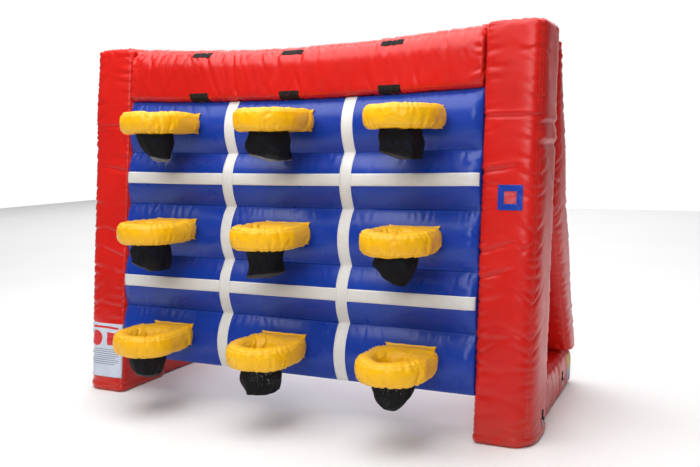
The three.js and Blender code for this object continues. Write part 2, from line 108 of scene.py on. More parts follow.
def wall_sag(x, v):
    """How far the wall hangs down at x and v."""
    share = np.clip((v - WALL_SAG["from"]) / (WALL_TOP - WALL_SAG["from"]), 0, None)
    return WALL_SAG["top"] * share**2 * (1 - np.clip(np.abs(x) / COLUMN["inner"], 0, 1) ** 2)


def on_wall(x, u, v):
    return leaning(x, u, v - wall_sag(x, v))


def lerp(start, end, share):
    return start + (end - start) * share


def ease(share):
    share = np.clip(share, 0, 1)
    return share * share * (3 - 2 * share)


OUTWARD = leaning(0, 1.0, 0) - leaning(0, 0.0, 0)  # out of the wall's back
UPRIGHT = leaning(0, 0, 1.0) - leaning(0, 0, 0.0)  # up along the lean
LEANING_BACK = (0, math.cos(LEAN), -math.sin(LEAN))  # into the wall


# ---------------------------------------------------------------- camera, lights and floor
CAMERA_AT = (2.6985, -5.2851, 1.7835)
CAMERA_YAW, CAMERA_PITCH, CAMERA_ROLL = math.radians(24.88), math.radians(6.02), -0.0121
LENS_MM, SENSOR_MM = 42.4, 36.0
WORLD_STRENGTH = (0.13, 1.03)  # all round, and where the backdrop is behind the game
BACKDROP = (-0.42, 0.907, 0.0)  # the way to the middle of the backdrop


def make_camera():
    forward = Vector(
        (
            -math.sin(CAMERA_YAW) * math.cos(CAMERA_PITCH),
            math.cos(CAMERA_YAW) * math.cos(CAMERA_PITCH),
            -math.sin(CAMERA_PITCH),
        )
    )
    right = Vector((math.cos(CAMERA_YAW), math.sin(CAMERA_YAW), 0))
    up = right.cross(forward)
    tilted_right = math.cos(CAMERA_ROLL) * right + math.sin(CAMERA_ROLL) * up
    tilted_up = math.cos(CAMERA_ROLL) * up - math.sin(CAMERA_ROLL) * right
    data = bpy.data.cameras.new("camera")
    data.lens, data.sensor_width = LENS_MM, SENSOR_MM
    camera = bpy.data.objects.new("camera", data)
    axes = Matrix((tilted_right, tilted_up, -forward)).transposed()
    camera.matrix_world = Matrix.Translation(CAMERA_AT) @ axes.to_4x4()
    bpy.context.scene.collection.objects.link(camera)
    bpy.context.scene.camera = camera


def make_light(name, at, target, size, power):
    data = bpy.data.lights.new(name, "AREA")
    data.shape, data.size, data.energy = "SQUARE", size, power
    light = bpy.data.objects.new(name, data)
    light.location = at
    light.rotation_mode = "QUATERNION"
    light.rotation_quaternion = (Vector(target) - Vector(at)).to_track_quat("-Z", "Y")
    bpy.context.scene.collection.objects.link(light)


def make_world():
    """A pale backdrop behind the game in a dimmer room."""
    world = bpy.data.worlds.new("studio")
    world.use_nodes = True
    tree = world.node_tree
    nearness = tree.nodes.new("ShaderNodeVectorMath")
    nearness.operation = "DOT_PRODUCT"
    nearness.inputs[1].default_value = BACKDROP
    share = tree.nodes.new("ShaderNodeMapRange")
    for socket, value in enumerate((0, 0.76, 0.90, *WORLD_STRENGTH)):
        share.inputs[socket].default_value = value
    tree.links.new(tree.nodes.new("ShaderNodeTexCoord").outputs["Generated"], nearness.inputs[0])
    tree.links.new(nearness.outputs["Value"], share.inputs[0])
    tree.links.new(share.outputs[0], tree.nodes["Background"].inputs["Strength"])
    tree.nodes["Background"].inputs["Color"].default_value = (1, 1, 1, 1)
    bpy.context.scene.world = world


# ---------------------------------------------------------------- materials
def srgb(red, green, blue):
    """A colour given as a display shows it, 0 to 255, as linear light."""
    shares = [c / 255 for c in (red, green, blue)]
    return tuple(c / 12.92 if c <= 0.04045 else ((c + 0.055) / 1.055) ** 2.4 for c in shares) + (1,)


class Shader:
    """Makes a material's nodes: each method returns a socket, and a socket given as an input is linked."""

    def __init__(self, name):
        self.material = bpy.data.materials.new(name)
        self.material.use_nodes = True
        self.tree = self.material.node_tree
        self.tree.nodes.clear()

    def node(self, kind, settings=(), **inputs):
        """A node. i0, i1 and so on are inputs by number, and other inputs go by their names."""
        made = self.tree.nodes.new("ShaderNode" + kind)
        for key, value in dict(settings).items():
            setattr(made, key, value)
        for key, value in inputs.items():
            numbered = key[0] == "i" and key[1:].isdigit()
            socket = made.inputs[int(key[1:])] if numbered else made.inputs[key.replace("_", " ")]
            if isinstance(value, bpy.types.NodeSocket):
                self.tree.links.new(value, socket)
            else:
                socket.default_value = value
        return made

    def math(self, operation, first, second=0.0):
        return self.node("Math", {"operation": operation}, i0=first, i1=second).outputs[0]

    def less(self, value, limit):
        return self.math("LESS_THAN", value, limit)

    def more(self, value, limit):
        return self.math("GREATER_THAN", value, limit)

    def times(self, first, second):
        return self.math("MULTIPLY", first, second)

    def most(self, first, second):
        return self.math("MAXIMUM", first, second)

    def least(self, first, second):
        return self.math("MINIMUM", first, second)

    def apart(self, first, second):
        return self.math("ABSOLUTE", self.math("SUBTRACT", first, second))

    def within(self, value, low, high):
        """1 where value lies between low and high, else 0."""
        return self.times(self.more(value, low), self.less(value, high))

    def from_edge(self, value, size):
        """How far a value between 0 and size is from the nearer of the two."""
        return self.least(value, self.math("SUBTRACT", size, value))

    def dashes(self, value, pitch, share):
        """1 on dashes that take up that share of their pitch, else 0."""
        return self.less(self.math("FRACT", self.math("DIVIDE", value, pitch)), share)

    def place(self):
        return self.node("TexCoord").outputs["Object"]

    def flat(self):
        """Metres along and across the piece, as two sockets."""
        split = self.node("SeparateXYZ", i0=self.node("UVMap", {"uv_map": "metres"}).outputs[0])
        return split.outputs[0], split.outputs[1]

    def noise(self, scale, detail=2.0):
        return self.node("TexNoise", Scale=scale, Detail=detail, Vector=self.place()).outputs["Fac"]

    def scaled(self, value, low, high, to_low, to_high):
        return self.node("MapRange", i0=value, i1=low, i2=high, i3=to_low, i4=to_high).outputs[0]

    def blotches(self, scale, detail, low, high, to_low, to_high):
        """Noise, with the part of it from low to high spread from to_low to to_high."""
        return self.scaled(self.noise(scale, detail), low, high, to_low, to_high)

    def mixed(self, share, first, second):
        return self.node("Mix", {"data_type": "RGBA"}, i0=share, i6=first, i7=second).outputs[2]

    def bump(self, height, strength, distance, normal=None):
        made = self.node("Bump", Strength=strength, Distance=distance, Height=height)
        if normal is not None:
            self.tree.links.new(normal, made.inputs["Normal"])
        return made.outputs[0]

    def finish(self, **inputs):
        surface = self.node("BsdfPrincipled", **inputs).outputs[0]
        self.node("OutputMaterial", Surface=surface)
        return self.material

    def finish_see_through(self, share, first, second):
        """A mix of two surfaces, with the second where share is 1."""
        mixed = self.node("MixShader", i0=share, i1=first.outputs[0], i2=second.outputs[0])
        self.node("OutputMaterial", Surface=mixed.outputs[0])
        return self.material


def weave(shader, pitch):
    """The height of a plain weave of that pitch."""
    turn = 2 * math.pi / pitch
    return shader.times(*[shader.math("SINE", shader.times(axis, turn)) for axis in shader.flat()])


def stitches(shader):
    """1 on the threads of the stitch lines along each seam, and the distance from the nearest seam."""
    seam = shader.node("Attribute", {"attribute_name": "seam"}).outputs["Fac"]
    run = shader.node("Attribute", {"attribute_name": "run"}).outputs["Fac"]
    first, second = [shader.less(shader.apart(seam, line), STITCH["width"]) for line in STITCH["lines"]]
    return shader.times(shader.most(first, second), shader.dashes(run, STITCH["pitch"], 0.62)), seam


def vinyl(name, colour, deep, thread, rough):
    """Coated fabric: a faint weave, stitches, painted shade with dirt darkening the seams, dirt near the
    ground, and duller patches.
    """
    shader = Shader(name)
    colour, deep, thread = srgb(*colour), srgb(*deep), srgb(*thread)
    mottled = shader.noise(19.0, 4.0)
    base = shader.mixed(shader.blotches(1.7, 3.0, 0.35, 0.7, 0.0, 0.35), colour, deep)
    base = shader.mixed(shader.scaled(mottled, 0.45, 0.75, 0.0, 0.10), base, deep)
    threads, seam = stitches(shader)
    # painted shade: darker within 6 mm of each seam, standing in for shade in the seam's fold, with dirt
    # there too
    base = shader.mixed(shader.scaled(seam, 0.0, 0.006, 0.45, 0.0), base, deep)
    height = shader.node("SeparateXYZ", i0=shader.place()).outputs[2]
    dust = shader.times(shader.scaled(height, 0.0, 0.22, 0.35, 0.0), mottled)
    base = shader.mixed(dust, base, srgb(120, 96, 78))
    base = shader.mixed(threads, base, thread)
    dull = shader.blotches(9.0, 3.0, 0.35, 0.75, rough, rough + 0.08)
    dull = shader.math("ADD", dull, shader.times(threads, 0.25))
    grain = shader.bump(weave(shader, 0.0016), 0.12, 0.00012)
    pores = shader.bump(shader.noise(420.0, 2.0), 0.05, 0.0003, grain)
    sewn = shader.bump(threads, 0.6, 0.0008, pores)
    return shader.finish(Base_Color=base, Roughness=dull, Normal=sewn, Specular_IOR_Level=SHINE)


def tape_material():
    shader = Shader("white_tape")
    along, across = shader.flat()
    edge = shader.from_edge(across, TAPE_WIDTH)
    sewn = shader.times(shader.within(edge, 0.0055, 0.0072), shader.dashes(along, 0.006, 0.6))
    stained = shader.blotches(6.0, 5.0, 0.4, 0.8, 0.0, 0.35)
    base = shader.mixed(stained, srgb(222, 222, 220), srgb(186, 186, 184))
    base = shader.mixed(shader.within(edge, -1.0, 0.0042), base, srgb(240, 240, 238))
    base = shader.mixed(sewn, base, srgb(196, 196, 198))
    rough = shader.blotches(60.0, 4.0, 0.3, 0.8, 0.38, 0.55)
    grain = shader.bump(weave(shader, 0.0014), 0.3, 0.00012)
    return shader.finish(Base_Color=base, Roughness=rough, Normal=shader.bump(sewn, 0.5, 0.0007, grain))


def hook_material():
    shader = Shader("hook_tape")
    along, across = shader.flat()
    edge = shader.least(shader.from_edge(across, PATCH["height"]), shader.from_edge(along, PATCH["width"]))
    fuzz = shader.noise(900.0, 3.0)
    base = shader.mixed(shader.scaled(fuzz, 0.3, 0.8, 0.0, 0.6), srgb(12, 11, 12), srgb(38, 34, 34))
    base = shader.mixed(shader.within(edge, 0.003, 0.0046), base, srgb(52, 50, 52))
    return shader.finish(Base_Color=base, Roughness=0.95, Normal=shader.bump(fuzz, 1.0, 0.0012))


def webbing_material():
    shader = Shader("black_webbing")
    along, across = shader.flat()
    slant = shader.math("ADD", along, shader.apart(across, TAB["width"] / 2))
    ribs = shader.math("SINE", shader.times(slant, 2 * math.pi / 0.0032))
    base = shader.mixed(shader.scaled(ribs, -1.0, 1.0, 0.0, 1.0), srgb(14, 14, 15), srgb(44, 44, 47))
    base = shader.mixed(shader.blotches(90.0, 3.0, 0.5, 0.8, 0.0, 0.3), base, srgb(92, 86, 80))
    return shader.finish(Base_Color=base, Roughness=0.78, Normal=shader.bump(ribs, 0.7, 0.0006))


def mesh_material():
    """Knitted mesh: small holes in rows, with nothing between the threads."""
    shader = Shader("black_mesh")
    turn = math.pi / 0.0052
    waves = [shader.math("ABSOLUTE", shader.math("SINE", shader.times(axis, turn))) for axis in shader.flat()]
    web = shader.times(*waves)
    base = shader.mixed(shader.noise(35.0, 3.0), srgb(5, 5, 8), srgb(17, 18, 23))
    bumped = shader.bump(web, 0.7, 0.0008)
    cloth = shader.node(
        "BsdfPrincipled", Base_Color=base, Roughness=0.7, Normal=bumped, Specular_IOR_Level=0.2
    )
    return shader.finish_see_through(shader.more(web, 0.74), cloth, shader.node("BsdfTransparent"))


def hem_material(name, light, dark):
    shader = Shader(name)
    base = shader.mixed(shader.blotches(14.0, 4.0, 0.3, 0.7, 0.0, 1.0), srgb(*dark), srgb(*light))
    grain = shader.bump(weave(shader, 0.0018), 0.5, 0.0003)
    return shader.finish(Base_Color=base, Roughness=0.6, Normal=grain)


def clear_material():
    shader = Shader("clear_vinyl")
    haze = shader.blotches(30.0, 4.0, 0.35, 0.75, 0.04, 0.20)
    film = shader.node("BsdfPrincipled", Base_Color=srgb(196, 206, 226), Roughness=0.12)
    return shader.finish_see_through(haze, shader.node("BsdfTransparent"), film)


def steel_material():
    shader = Shader("plated_steel")
    worn = shader.noise(260.0, 4.0)
    tarnish = shader.scaled(worn, 0.45, 0.75, 0.0, 0.7)
    base = shader.mixed(tarnish, srgb(202, 204, 206), srgb(128, 126, 122))
    rough = shader.scaled(worn, 0.3, 0.8, 0.18, 0.42)
    bumped = shader.bump(worn, 0.1, 0.0004)
    return shader.finish(Base_Color=base, Metallic=1.0, Roughness=rough, Normal=bumped)


def safety_print_material():
    """A plain white panel: two red signs without lettering, grey bars for its text and a sewn border."""
    shader = Shader("white_print_vinyl")
    along, across = shader.flat()
    offsets = [shader.apart(across, 0.245), shader.apart(along, 0.285)]
    squares = [shader.math("POWER", offset, 2.0) for offset in offsets]
    disc = shader.less(shader.math("SQRT", shader.math("ADD", *squares)), 0.058)
    tile = shader.less(shader.most(shader.apart(across, 0.095), shader.apart(along, 0.285)), 0.048)
    title = shader.times(shader.within(along, 0.362, 0.378), shader.within(across, 0.040, 0.300))
    red = shader.most(title, shader.most(disc, tile))
    ragged = shader.blotches(31.0, 0.0, 0.4, 0.6, 0.030, 0.075)
    lines = shader.times(shader.within(along, 0.085, 0.215), shader.more(across, ragged))
    bars = shader.times(shader.times(shader.dashes(along, 0.0155, 0.34), lines), shader.less(across, 0.315))
    soiled = shader.blotches(7.0, 5.0, 0.4, 0.8, 0.0, 0.5)
    base = shader.mixed(soiled, srgb(206, 214, 228), srgb(170, 178, 194))
    base = shader.mixed(red, base, srgb(206, 30, 36))
    base = shader.mixed(bars, base, srgb(118, 126, 142))
    edge = shader.from_edge(along, SAFETY_PANEL["top"] - SAFETY_PANEL["bottom"])
    base = shader.mixed(shader.less(shader.least(edge, across), 0.0035), base, srgb(168, 176, 190))
    rough = shader.blotches(50.0, 4.0, 0.3, 0.8, 0.34, 0.5)
    bumped = shader.bump(shader.noise(24.0, 2.0), 0.1, 0.002)
    return shader.finish(Base_Color=base, Roughness=rough, Normal=bumped)


def two_tone_material():
    shader = Shader("two_tone_vinyl")
    share = shader.scaled(shader.flat()[1], 0.06, 0.12, 0.0, 1.0)
    base = shader.mixed(share, srgb(150, 152, 176), srgb(206, 170, 36))
    base = shader.mixed(shader.blotches(12.0, 4.0, 0.4, 0.8, 0.0, 0.3), base, srgb(104, 98, 96))
    bumped = shader.bump(shader.noise(40.0, 2.0), 0.1, 0.002)
    return shader.finish(Base_Color=base, Roughness=0.45, Normal=bumped)


def floor_material():
    shader = Shader("studio_floor")
    base = shader.mixed(shader.noise(0.6, 4.0), srgb(236, 236, 236), srgb(243, 243, 243))
    return shader.finish(Base_Color=base, Roughness=0.85)


MATERIALS = {
    "red_vinyl": vinyl("red_vinyl", (210, 28, 20), (160, 12, 10), (228, 70, 60), 0.28),
    "blue_vinyl": vinyl("blue_vinyl", (20, 60, 164), (10, 36, 120), (56, 92, 184), 0.27),
    "yellow_vinyl": vinyl("yellow_vinyl", (250, 190, 8), (226, 154, 4), (252, 214, 90), 0.33),
    "white_tape": tape_material(),
    "hook_tape": hook_material(),
    "black_webbing": webbing_material(),
    "black_mesh": mesh_material(),
    "clear_vinyl": clear_material(),
    "plated_steel": steel_material(),
    "white_print_vinyl": safety_print_material(),
    "two_tone_vinyl": two_tone_material(),
    "grey_hem": hem_material("grey_hem", (126, 128, 132), (84, 86, 90)),
    "dark_hem": hem_material("dark_hem", (48, 49, 54), (22, 23, 27)),
}


# ---------------------------------------------------------------- grids and meshes
def unit(vectors):
    return vectors / np.maximum(np.linalg.norm(vectors, axis=-1, keepdims=True), 1e-12)


def grid(first, second):
    """Two arrays over every pair of the values."""
    return np.meshgrid(first, second, indexing="ij")


def spans(points, axis, wrap=False):
    """Distances along an axis of a grid of points, from 0, with one more column of them where it wraps."""
    if wrap:
        points = np.concatenate([points, points[:, :1]], 1)
    gaps = np.linalg.norm(np.diff(points, axis=axis), axis=-1)
    start = np.zeros_like(np.take(gaps, [0], axis))
    return np.concatenate([start, np.cumsum(gaps, axis)], axis)


def grid_normals(points, wrap):
    """Unit normals of a grid whose columns may wrap."""
    across = np.roll(points, -1, 1) - np.roll(points, 1, 1) if wrap else np.gradient(points, axis=1)
    normal = unit(np.cross(np.gradient(points, axis=0), across))
    return normal if np.sum(normal * (points - points.mean(axis=(0, 1)))) > 0 else -normal


def ring_normals(points):
    """Unit normals of a grid that wraps both ways."""
    along, across = (np.roll(points, -1, axis) - np.roll(points, 1, axis) for axis in (0, 1))
    normal = unit(np.cross(along, across))
    return normal if np.sum(normal * (points - points.mean(axis=1, keepdims=True))) > 0 else -normal


def read_faces(mesh, key, width):
    values = np.zeros(len(mesh.polygons) * width, np.float32)
    mesh.polygons.foreach_get(key, values)
    return values.reshape(-1, width)


def mesh_object(name, vertices, faces, uvs, material, attributes=(), outward=None):
    """A smooth mesh. uvs has a row for each corner of each face. An open sheet faces outward."""
    mesh = bpy.data.meshes.new(name)
    mesh.from_pydata(vertices.reshape(-1, 3), [], [tuple(f) for f in faces])
    layer = mesh.uv_layers.new(name="metres")
    layer.uv.foreach_set("vector", np.asarray(uvs, np.float32).ravel())
    for key, values in dict(attributes).items():
        made = mesh.attributes.new(key, "FLOAT", "POINT")
        made.data.foreach_set("value", np.asarray(values, np.float32).ravel())
    mesh.update()
    normals, centres = read_faces(mesh, "normal", 3), read_faces(mesh, "center", 3)
    areas = read_faces(mesh, "area", 1)
    reference = centres - centres.mean(0) if outward is None else np.array(outward, float)
    if float((normals * reference * areas).sum()) < 0:
        mesh.flip_normals()
    mesh.polygons.foreach_set("use_smooth", np.ones(len(mesh.polygons), bool))
    mesh.materials.append(MATERIALS[material])
    made = bpy.data.objects.new(name, mesh)
    bpy.context.scene.collection.objects.link(made)
    return made


def grid_faces(rows, cols, wrap):
    """The corners of each face of a grid, and where each lies in the grid of its distances."""
    last = cols if wrap else cols - 1
    r, c = [g.ravel() for g in grid(np.arange(rows - 1), np.arange(last))]
    corners = [(r, c), (r, c + 1), (r + 1, c + 1), (r + 1, c)]
    faces = np.stack([row * cols + col % cols for row, col in corners], -1)
    return faces, np.stack([row * (last + 1) + col for row, col in corners], -1)


def grid_object(name, points, material, wrap=False, closed=False, attributes=(), outward=None, metres=None):
    """A mesh over a grid of points. closed fills the first and last rings."""
    rows, cols = points.shape[:2]
    faces, at = grid_faces(rows, cols, wrap)
    if metres is None:
        metres = np.stack([spans(points, axis, wrap) for axis in (0, 1)], -1)
    uvs = metres.reshape(-1, 2)[at].reshape(-1, 2)
    faces = [tuple(f) for f in faces.tolist()]
    if closed:
        for row in (0, rows - 1):
            faces.append(tuple(row * cols + np.arange(cols)))
            uvs = np.concatenate([uvs, metres[row, :cols].reshape(-1, 2)])
    return mesh_object(name, points, faces, uvs, material, attributes, outward)


def torus_object(name, points, material, attributes):
    """A mesh over a grid that wraps both ways."""
    wrapped = np.concatenate([points, points[:1]])
    faces, at = grid_faces(*wrapped.shape[:2], True)
    metres = np.stack([spans(wrapped, axis, True) for axis in (0, 1)], -1)
    uvs = metres.reshape(-1, 2)[at].reshape(-1, 2)
    made = mesh_object(name, points, (faces % points[..., 0].size).tolist(), uvs, material, attributes)
    from_axis = points - points.mean(axis=1, keepdims=True)
    if float((read_faces(made.data, "normal", 3) * from_axis.reshape(-1, 3)).sum()) < 0:
        made.data.flip_normals()
    return made


def fit(obj, body="game", stands_for=()):
    """What every piece says to the frame."""
    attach(obj, body)
    if stands_for:
        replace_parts(obj, *stands_for)
    return obj


def mark_edges(made):
    """Gives a small sheet the seam attributes of a surface with no seam on it."""
    for key, value in (("seam", 1.0), ("run", 0.0)):
        layer = made.data.attributes.new(key, "FLOAT", "POINT")
        layer.data.foreach_set("value", np.full(len(made.data.vertices), value, np.float32))


def add_thickness(made, thick):
    solid = made.modifiers.new("cloth", "SOLIDIFY")
    solid.thickness, solid.offset = thick, 0.0


# ---------------------------------------------------------------- seams and creases
def gathers(rng, length, spacing, depth, reach, width=0.011):
    """Creases spread unevenly along a seam: place, depth, reach, width and slant of each."""
    count = max(1, int(length / spacing))
    place = (np.arange(count) + rng.uniform(0.1, 0.9, count)) * length / count
    strength = rng.uniform(0.15, 1.0, count) ** 1.2
    return np.stack(
        [
            place,
            depth * strength,
            reach * rng.uniform(0.4, 1.35, count) * (0.5 + 0.5 * strength),
            width * rng.uniform(0.6, 1.2, count),
            rng.normal(0.12, 0.28, count),
        ],
        -1,
    )


def creased(run, away, spots):
    """The height that creases give: run is the distance along their seam and away the distance from it."""
    height = np.zeros(np.broadcast(run, away).shape)
    run, away = np.broadcast_arrays(run, away)
    for place, depth, reach, width, slant in spots:
        near = (np.abs(away) < 2.2 * reach) & (np.abs(run - place) < 2.5 * reach + 4 * width)
        if not near.any():
            continue
        d = np.abs(away[near])
        spread = width * (0.75 + 1.1 * d / reach)
        off = (run[near] - place - slant * d) / spread
        fade = np.exp(-((d / reach) ** 2)) * (0.45 + 0.55 * (1 - np.exp(-d / 0.012)))
        height[near] -= depth * fade * (np.exp(-(off**2)) - 0.45 * np.exp(-((off - 1.9) ** 2) / 1.4))
    return height


def sewn(away, depth=0.0035, width=0.009):
    """The fold of a seam itself."""
    return -depth * np.exp(-((away / width) ** 2))


def ripple(points, rng, height, size):
    """Slow unevenness of the given height, over about the given distance."""
    total = np.zeros(points.shape[:-1])
    for _ in range(6):
        wave = rng.normal(0, 1, 3)
        wave *= 2 * math.pi / (size * rng.uniform(0.7, 1.6)) / np.linalg.norm(wave)
        total += np.sin(points @ wave + rng.uniform(0, 2 * math.pi))
    return height * total / 3


def ring(half_a, half_b, near, far, count):
    """Even points round a rounded box section, the shares at which its corners lie, and its length."""
    angle = np.linspace(0, 2 * math.pi, FINE + 1)
    power = np.where(np.cos(angle) < 0, near, far)
    a = half_a * np.sign(np.cos(angle)) * np.abs(np.cos(angle)) ** (2 / power)
    b = half_b * np.sign(np.sin(angle)) * np.abs(np.sin(angle)) ** (2 / power)
    length = np.concatenate([[0], np.cumsum(np.hypot(np.diff(a), np.diff(b)))])
    share = length / length[-1]
    even = np.arange(count) / count
    corners = np.interp(np.radians([45, 135, 225, 315]), angle, share)
    return np.interp(even, share, a), np.interp(even, share, b), corners, length[-1]


def stations(start, end, rounds, dome=0.012):
    """Where each ring along a chamber lies, how far it is drawn in, and how much it is shrunk."""
    turn = np.linspace(0, math.pi / 2, 7)[1:]
    shrink = np.linspace(0.04, 1.0, 9)
    middle = np.arange(start + rounds[0], end - rounds[1], STEP)[1:]
    rows = [(start - dome * (1 - s * s), rounds[0], s) for s in shrink]
    rows += [(start + rounds[0] * (1 - math.cos(t)), rounds[0] * (1 - math.sin(t)), 1.0) for t in turn]
    rows += [(at, 0.0, 1.0) for at in middle]
    rows += [(end - rounds[1] * (1 - math.cos(t)), rounds[1] * (1 - math.sin(t)), 1.0) for t in turn[::-1]]
    rows += [(end + dome * (1 - s * s), rounds[1], s) for s in shrink[::-1]]
    return rows


def calm(points):
    """0 where a tab is sewn, so that its chamber is smooth there, and 1 well away from it."""
    share = np.ones(points.shape[:-1])
    for place, outer in (("front", COLUMN["outer"]), ("rear", BASE["outer"])):
        spot = np.array([outer, FOOT_Y + TAB_Y[place], TAB["height"] + TAB["rise"] / 2])
        share *= 1 - np.exp(-((np.linalg.norm(points - spot, axis=-1) / 0.08) ** 4))
    return share


def chamber(name, rows, outline, place, count, rng, seams, extra=None, mirrored=False, open_end=False):
    """An inflated chamber. outline gives the section's halves and powers at a station; place puts it there.
    seams says how strongly each of the four lengthwise seams and the two end seams gather."""
    points, corner_shares, arounds = [], [], []
    for at, inset, shrink in rows:
        half_a, half_b, near, far = outline(at)
        soft = [lerp(2.2, power, shrink) for power in (near, far)]
        a, b, corners, length = ring((half_a - inset) * shrink, (half_b - inset) * shrink, *soft, count)
        points.append(place(at, a, b))
        corner_shares.append(corners)
        arounds.append(length)
    points, corners, arounds = np.array(points), np.array(corner_shares), np.array(arounds)
    along = spans(points, 0).mean(1)
    share = np.arange(count) / count
    normal = grid_normals(points, True)
    height = ripple(points, rng, 0.0035, 0.55)
    nearest = np.full(points.shape[:2], 1.0)
    run = np.zeros(points.shape[:2])
    for k, strength in enumerate(seams["long"]):
        gap = np.abs(share[None, :] - corners[:, k : k + 1])
        away = np.minimum(gap, 1 - gap) * arounds[:, None]
        spots = gathers(rng, along[-1], 0.040, 0.0120 * strength, 0.115)
        height += creased(along[:, None], away, spots) + sewn(away)
        run = np.where(away < nearest, along[:, None], run)
        nearest = np.minimum(nearest, away)
    shrinks = np.array([row[2] for row in rows])
    first, last = np.argmax(shrinks >= 1.0), len(rows) - 1 - np.argmax(shrinks[::-1] >= 1.0)
    for index, strength in ((first, seams["ends"][0]), (last, seams["ends"][1])):
        if strength <= 0:
            continue
        away = np.abs(along - along[index])[:, None] * np.ones(count)
        around = share[None, :] * arounds[:, None]
        spots = gathers(rng, arounds[index], 0.040, 0.0115 * strength, 0.08)
        height += creased(around, away, spots) + sewn(away)
        run = np.where(away < nearest, around, run)
        nearest = np.minimum(nearest, away)
    if extra is not None:
        height += extra(points)
    closing = ease((shrinks - 0.1) / 0.5)[:, None] * calm(points)
    points = points + normal * (height * closing)[..., None]
    points[..., 2] = np.maximum(points[..., 2], 0.0)  # the ground flattens it
    if mirrored:
        points = points * np.array([-1, 1, 1])
    marks = {"seam": nearest, "run": run}
    made = grid_object(name, points, "red_vinyl", wrap=True, closed=not open_end, attributes=marks)
    fit(made, stands_for=[name])
    return points


# ---------------------------------------------------------------- the red frame
COLUMN_HALF = ((COLUMN["outer"] - COLUMN["inner"]) / 2, (COLUMN["rear"] - COLUMN["front"]) / 2)
COLUMN_X = (COLUMN["outer"] + COLUMN["inner"]) / 2
SIDE_X = (BASE["inner"] + BASE["outer"]) / 2
# The long creases near the wall: the height, slope and depth of each.
NEAR_WALL_FOLDS = ((1.62, 0.16, 0.009), (1.14, 0.30, 0.008), (0.98, 0.34, 0.010), (0.62, 0.10, 0.006))
INLET_SHARE = 0.62  # the inlet at the left base tube's rear, as a share of the tube's end


def column_outline(z):
    return (*COLUMN_HALF, 12, lerp(*COLUMN_POWER, min(max(z / COLUMN["height"], 0), 1)))


def column_place(z, a, b):
    y = FOOT_Y + COLUMN["front"] + COLUMN_HALF[1] + lean(z) + b
    return np.stack([COLUMN_X + a, y, np.full_like(a, z)], -1)


def fold(points, axis_at, slope, depth, width, where):
    """One long crease across a face: where z meets a sloping line, inside a region."""
    off = (points[..., 2] - axis_at - slope * points[..., 0]) / width
    return -depth * (np.exp(-(off**2)) - 0.5 * np.exp(-((off - 2.0) ** 2))) * where


def column_folds(points):
    """The long creases that cross the front and outer faces."""
    front = ease((FOOT_Y + 0.06 + lean(points[..., 2]) - points[..., 1]) / 0.05)
    outer = ease((points[..., 0] - (COLUMN["outer"] - 0.05)) / 0.04)
    near_wall = front * ease((1.60 - points[..., 0]) / 0.16)
    height = fold(points, 1.955, 0.0, 0.009, 0.010, front)
    height += fold(points, 1.78, 0.0, 0.012, 0.022, outer)
    height += fold(points, 1.40, 0.30, 0.008, 0.020, outer)
    for level, slope, depth in NEAR_WALL_FOLDS:
        height += fold(points, level - 1.33 * slope, slope, depth, 0.013, near_wall)
    return height


def rear_leg_depth(z):
    apex_front = COLUMN["rear"] + lean(REAR_LEG_APEX)
    rise = (z - BASE["height"]) / (REAR_LEG_APEX - BASE["height"])
    climb = (z - BASE["height"]) / (REAR_LEG_HEIGHT - BASE["height"])
    front = lerp(REAR_LEG["foot_front"], apex_front, rise) if rise < 1 else COLUMN["rear"] + lean(z)
    return front, lerp(REAR_LEG["foot_rear"], REAR_LEG["top_rear"], climb)


def rear_leg_outline(z):
    front, rear = rear_leg_depth(min(max(z, BASE["height"]), REAR_LEG_HEIGHT))
    return (REAR_LEG["outer"] - REAR_LEG["inner"]) / 2, (rear - front) / 2, 5, 4


def rear_leg_place(z, a, b):
    front, rear = rear_leg_depth(min(max(z, BASE["height"]), REAR_LEG_HEIGHT))
    x = (REAR_LEG["outer"] + REAR_LEG["inner"]) / 2 + a
    return np.stack([x, FOOT_Y + (front + rear) / 2 + b, np.full_like(a, z)], -1)


def base_place(y, a, b):
    return np.stack([SIDE_X + b, np.full_like(a, FOOT_Y + y), BASE["height"] / 2 + a], -1)


def beam_span(x):
    """The bottom and the height of the beam at x, along the lean."""
    hang = wall_sag(x, WALL_TOP)
    return WALL_TOP + 0.0003 - hang, BEAM["height"] - BEAM["sag"] * hang / WALL_SAG["top"]


def beam_half(x):
    return beam_span(x)[1] / 2


def beam_place(x, a, b):
    u = BEAM["front"] + (BEAM["rear"] - BEAM["front"]) / 2 - b
    return leaning(x, u, beam_span(x)[0] + beam_half(x) + a)


def beam_folds(points):
    """Upright creases on the beam's front: a few by the left column and a group left of the middle."""
    rng = np.random.default_rng(71)
    crown = 2.40
    front = ease((FOOT_Y + 0.12 + lean(points[..., 2]) - points[..., 1]) / 0.08)
    away = crown - points[..., 2]
    height = np.zeros(points.shape[:2])
    groups = ((-1.30, -1.02, 7, 0.13), (-0.62, -0.26, 8, 0.17), (0.1, 1.2, 12, 0.08), (-0.95, -0.7, 4, 0.10))
    for start, end, count, reach in groups:
        for x in np.linspace(start, end, count) + rng.uniform(-0.02, 0.02, count):
            spot = np.array([[x, 0.0045 * rng.uniform(0.5, 1), reach * rng.uniform(0.6, 1.1), 0.008, 0.22]])
            height += creased(points[..., 0], away - reach * 0.3, spot) * front
    return height


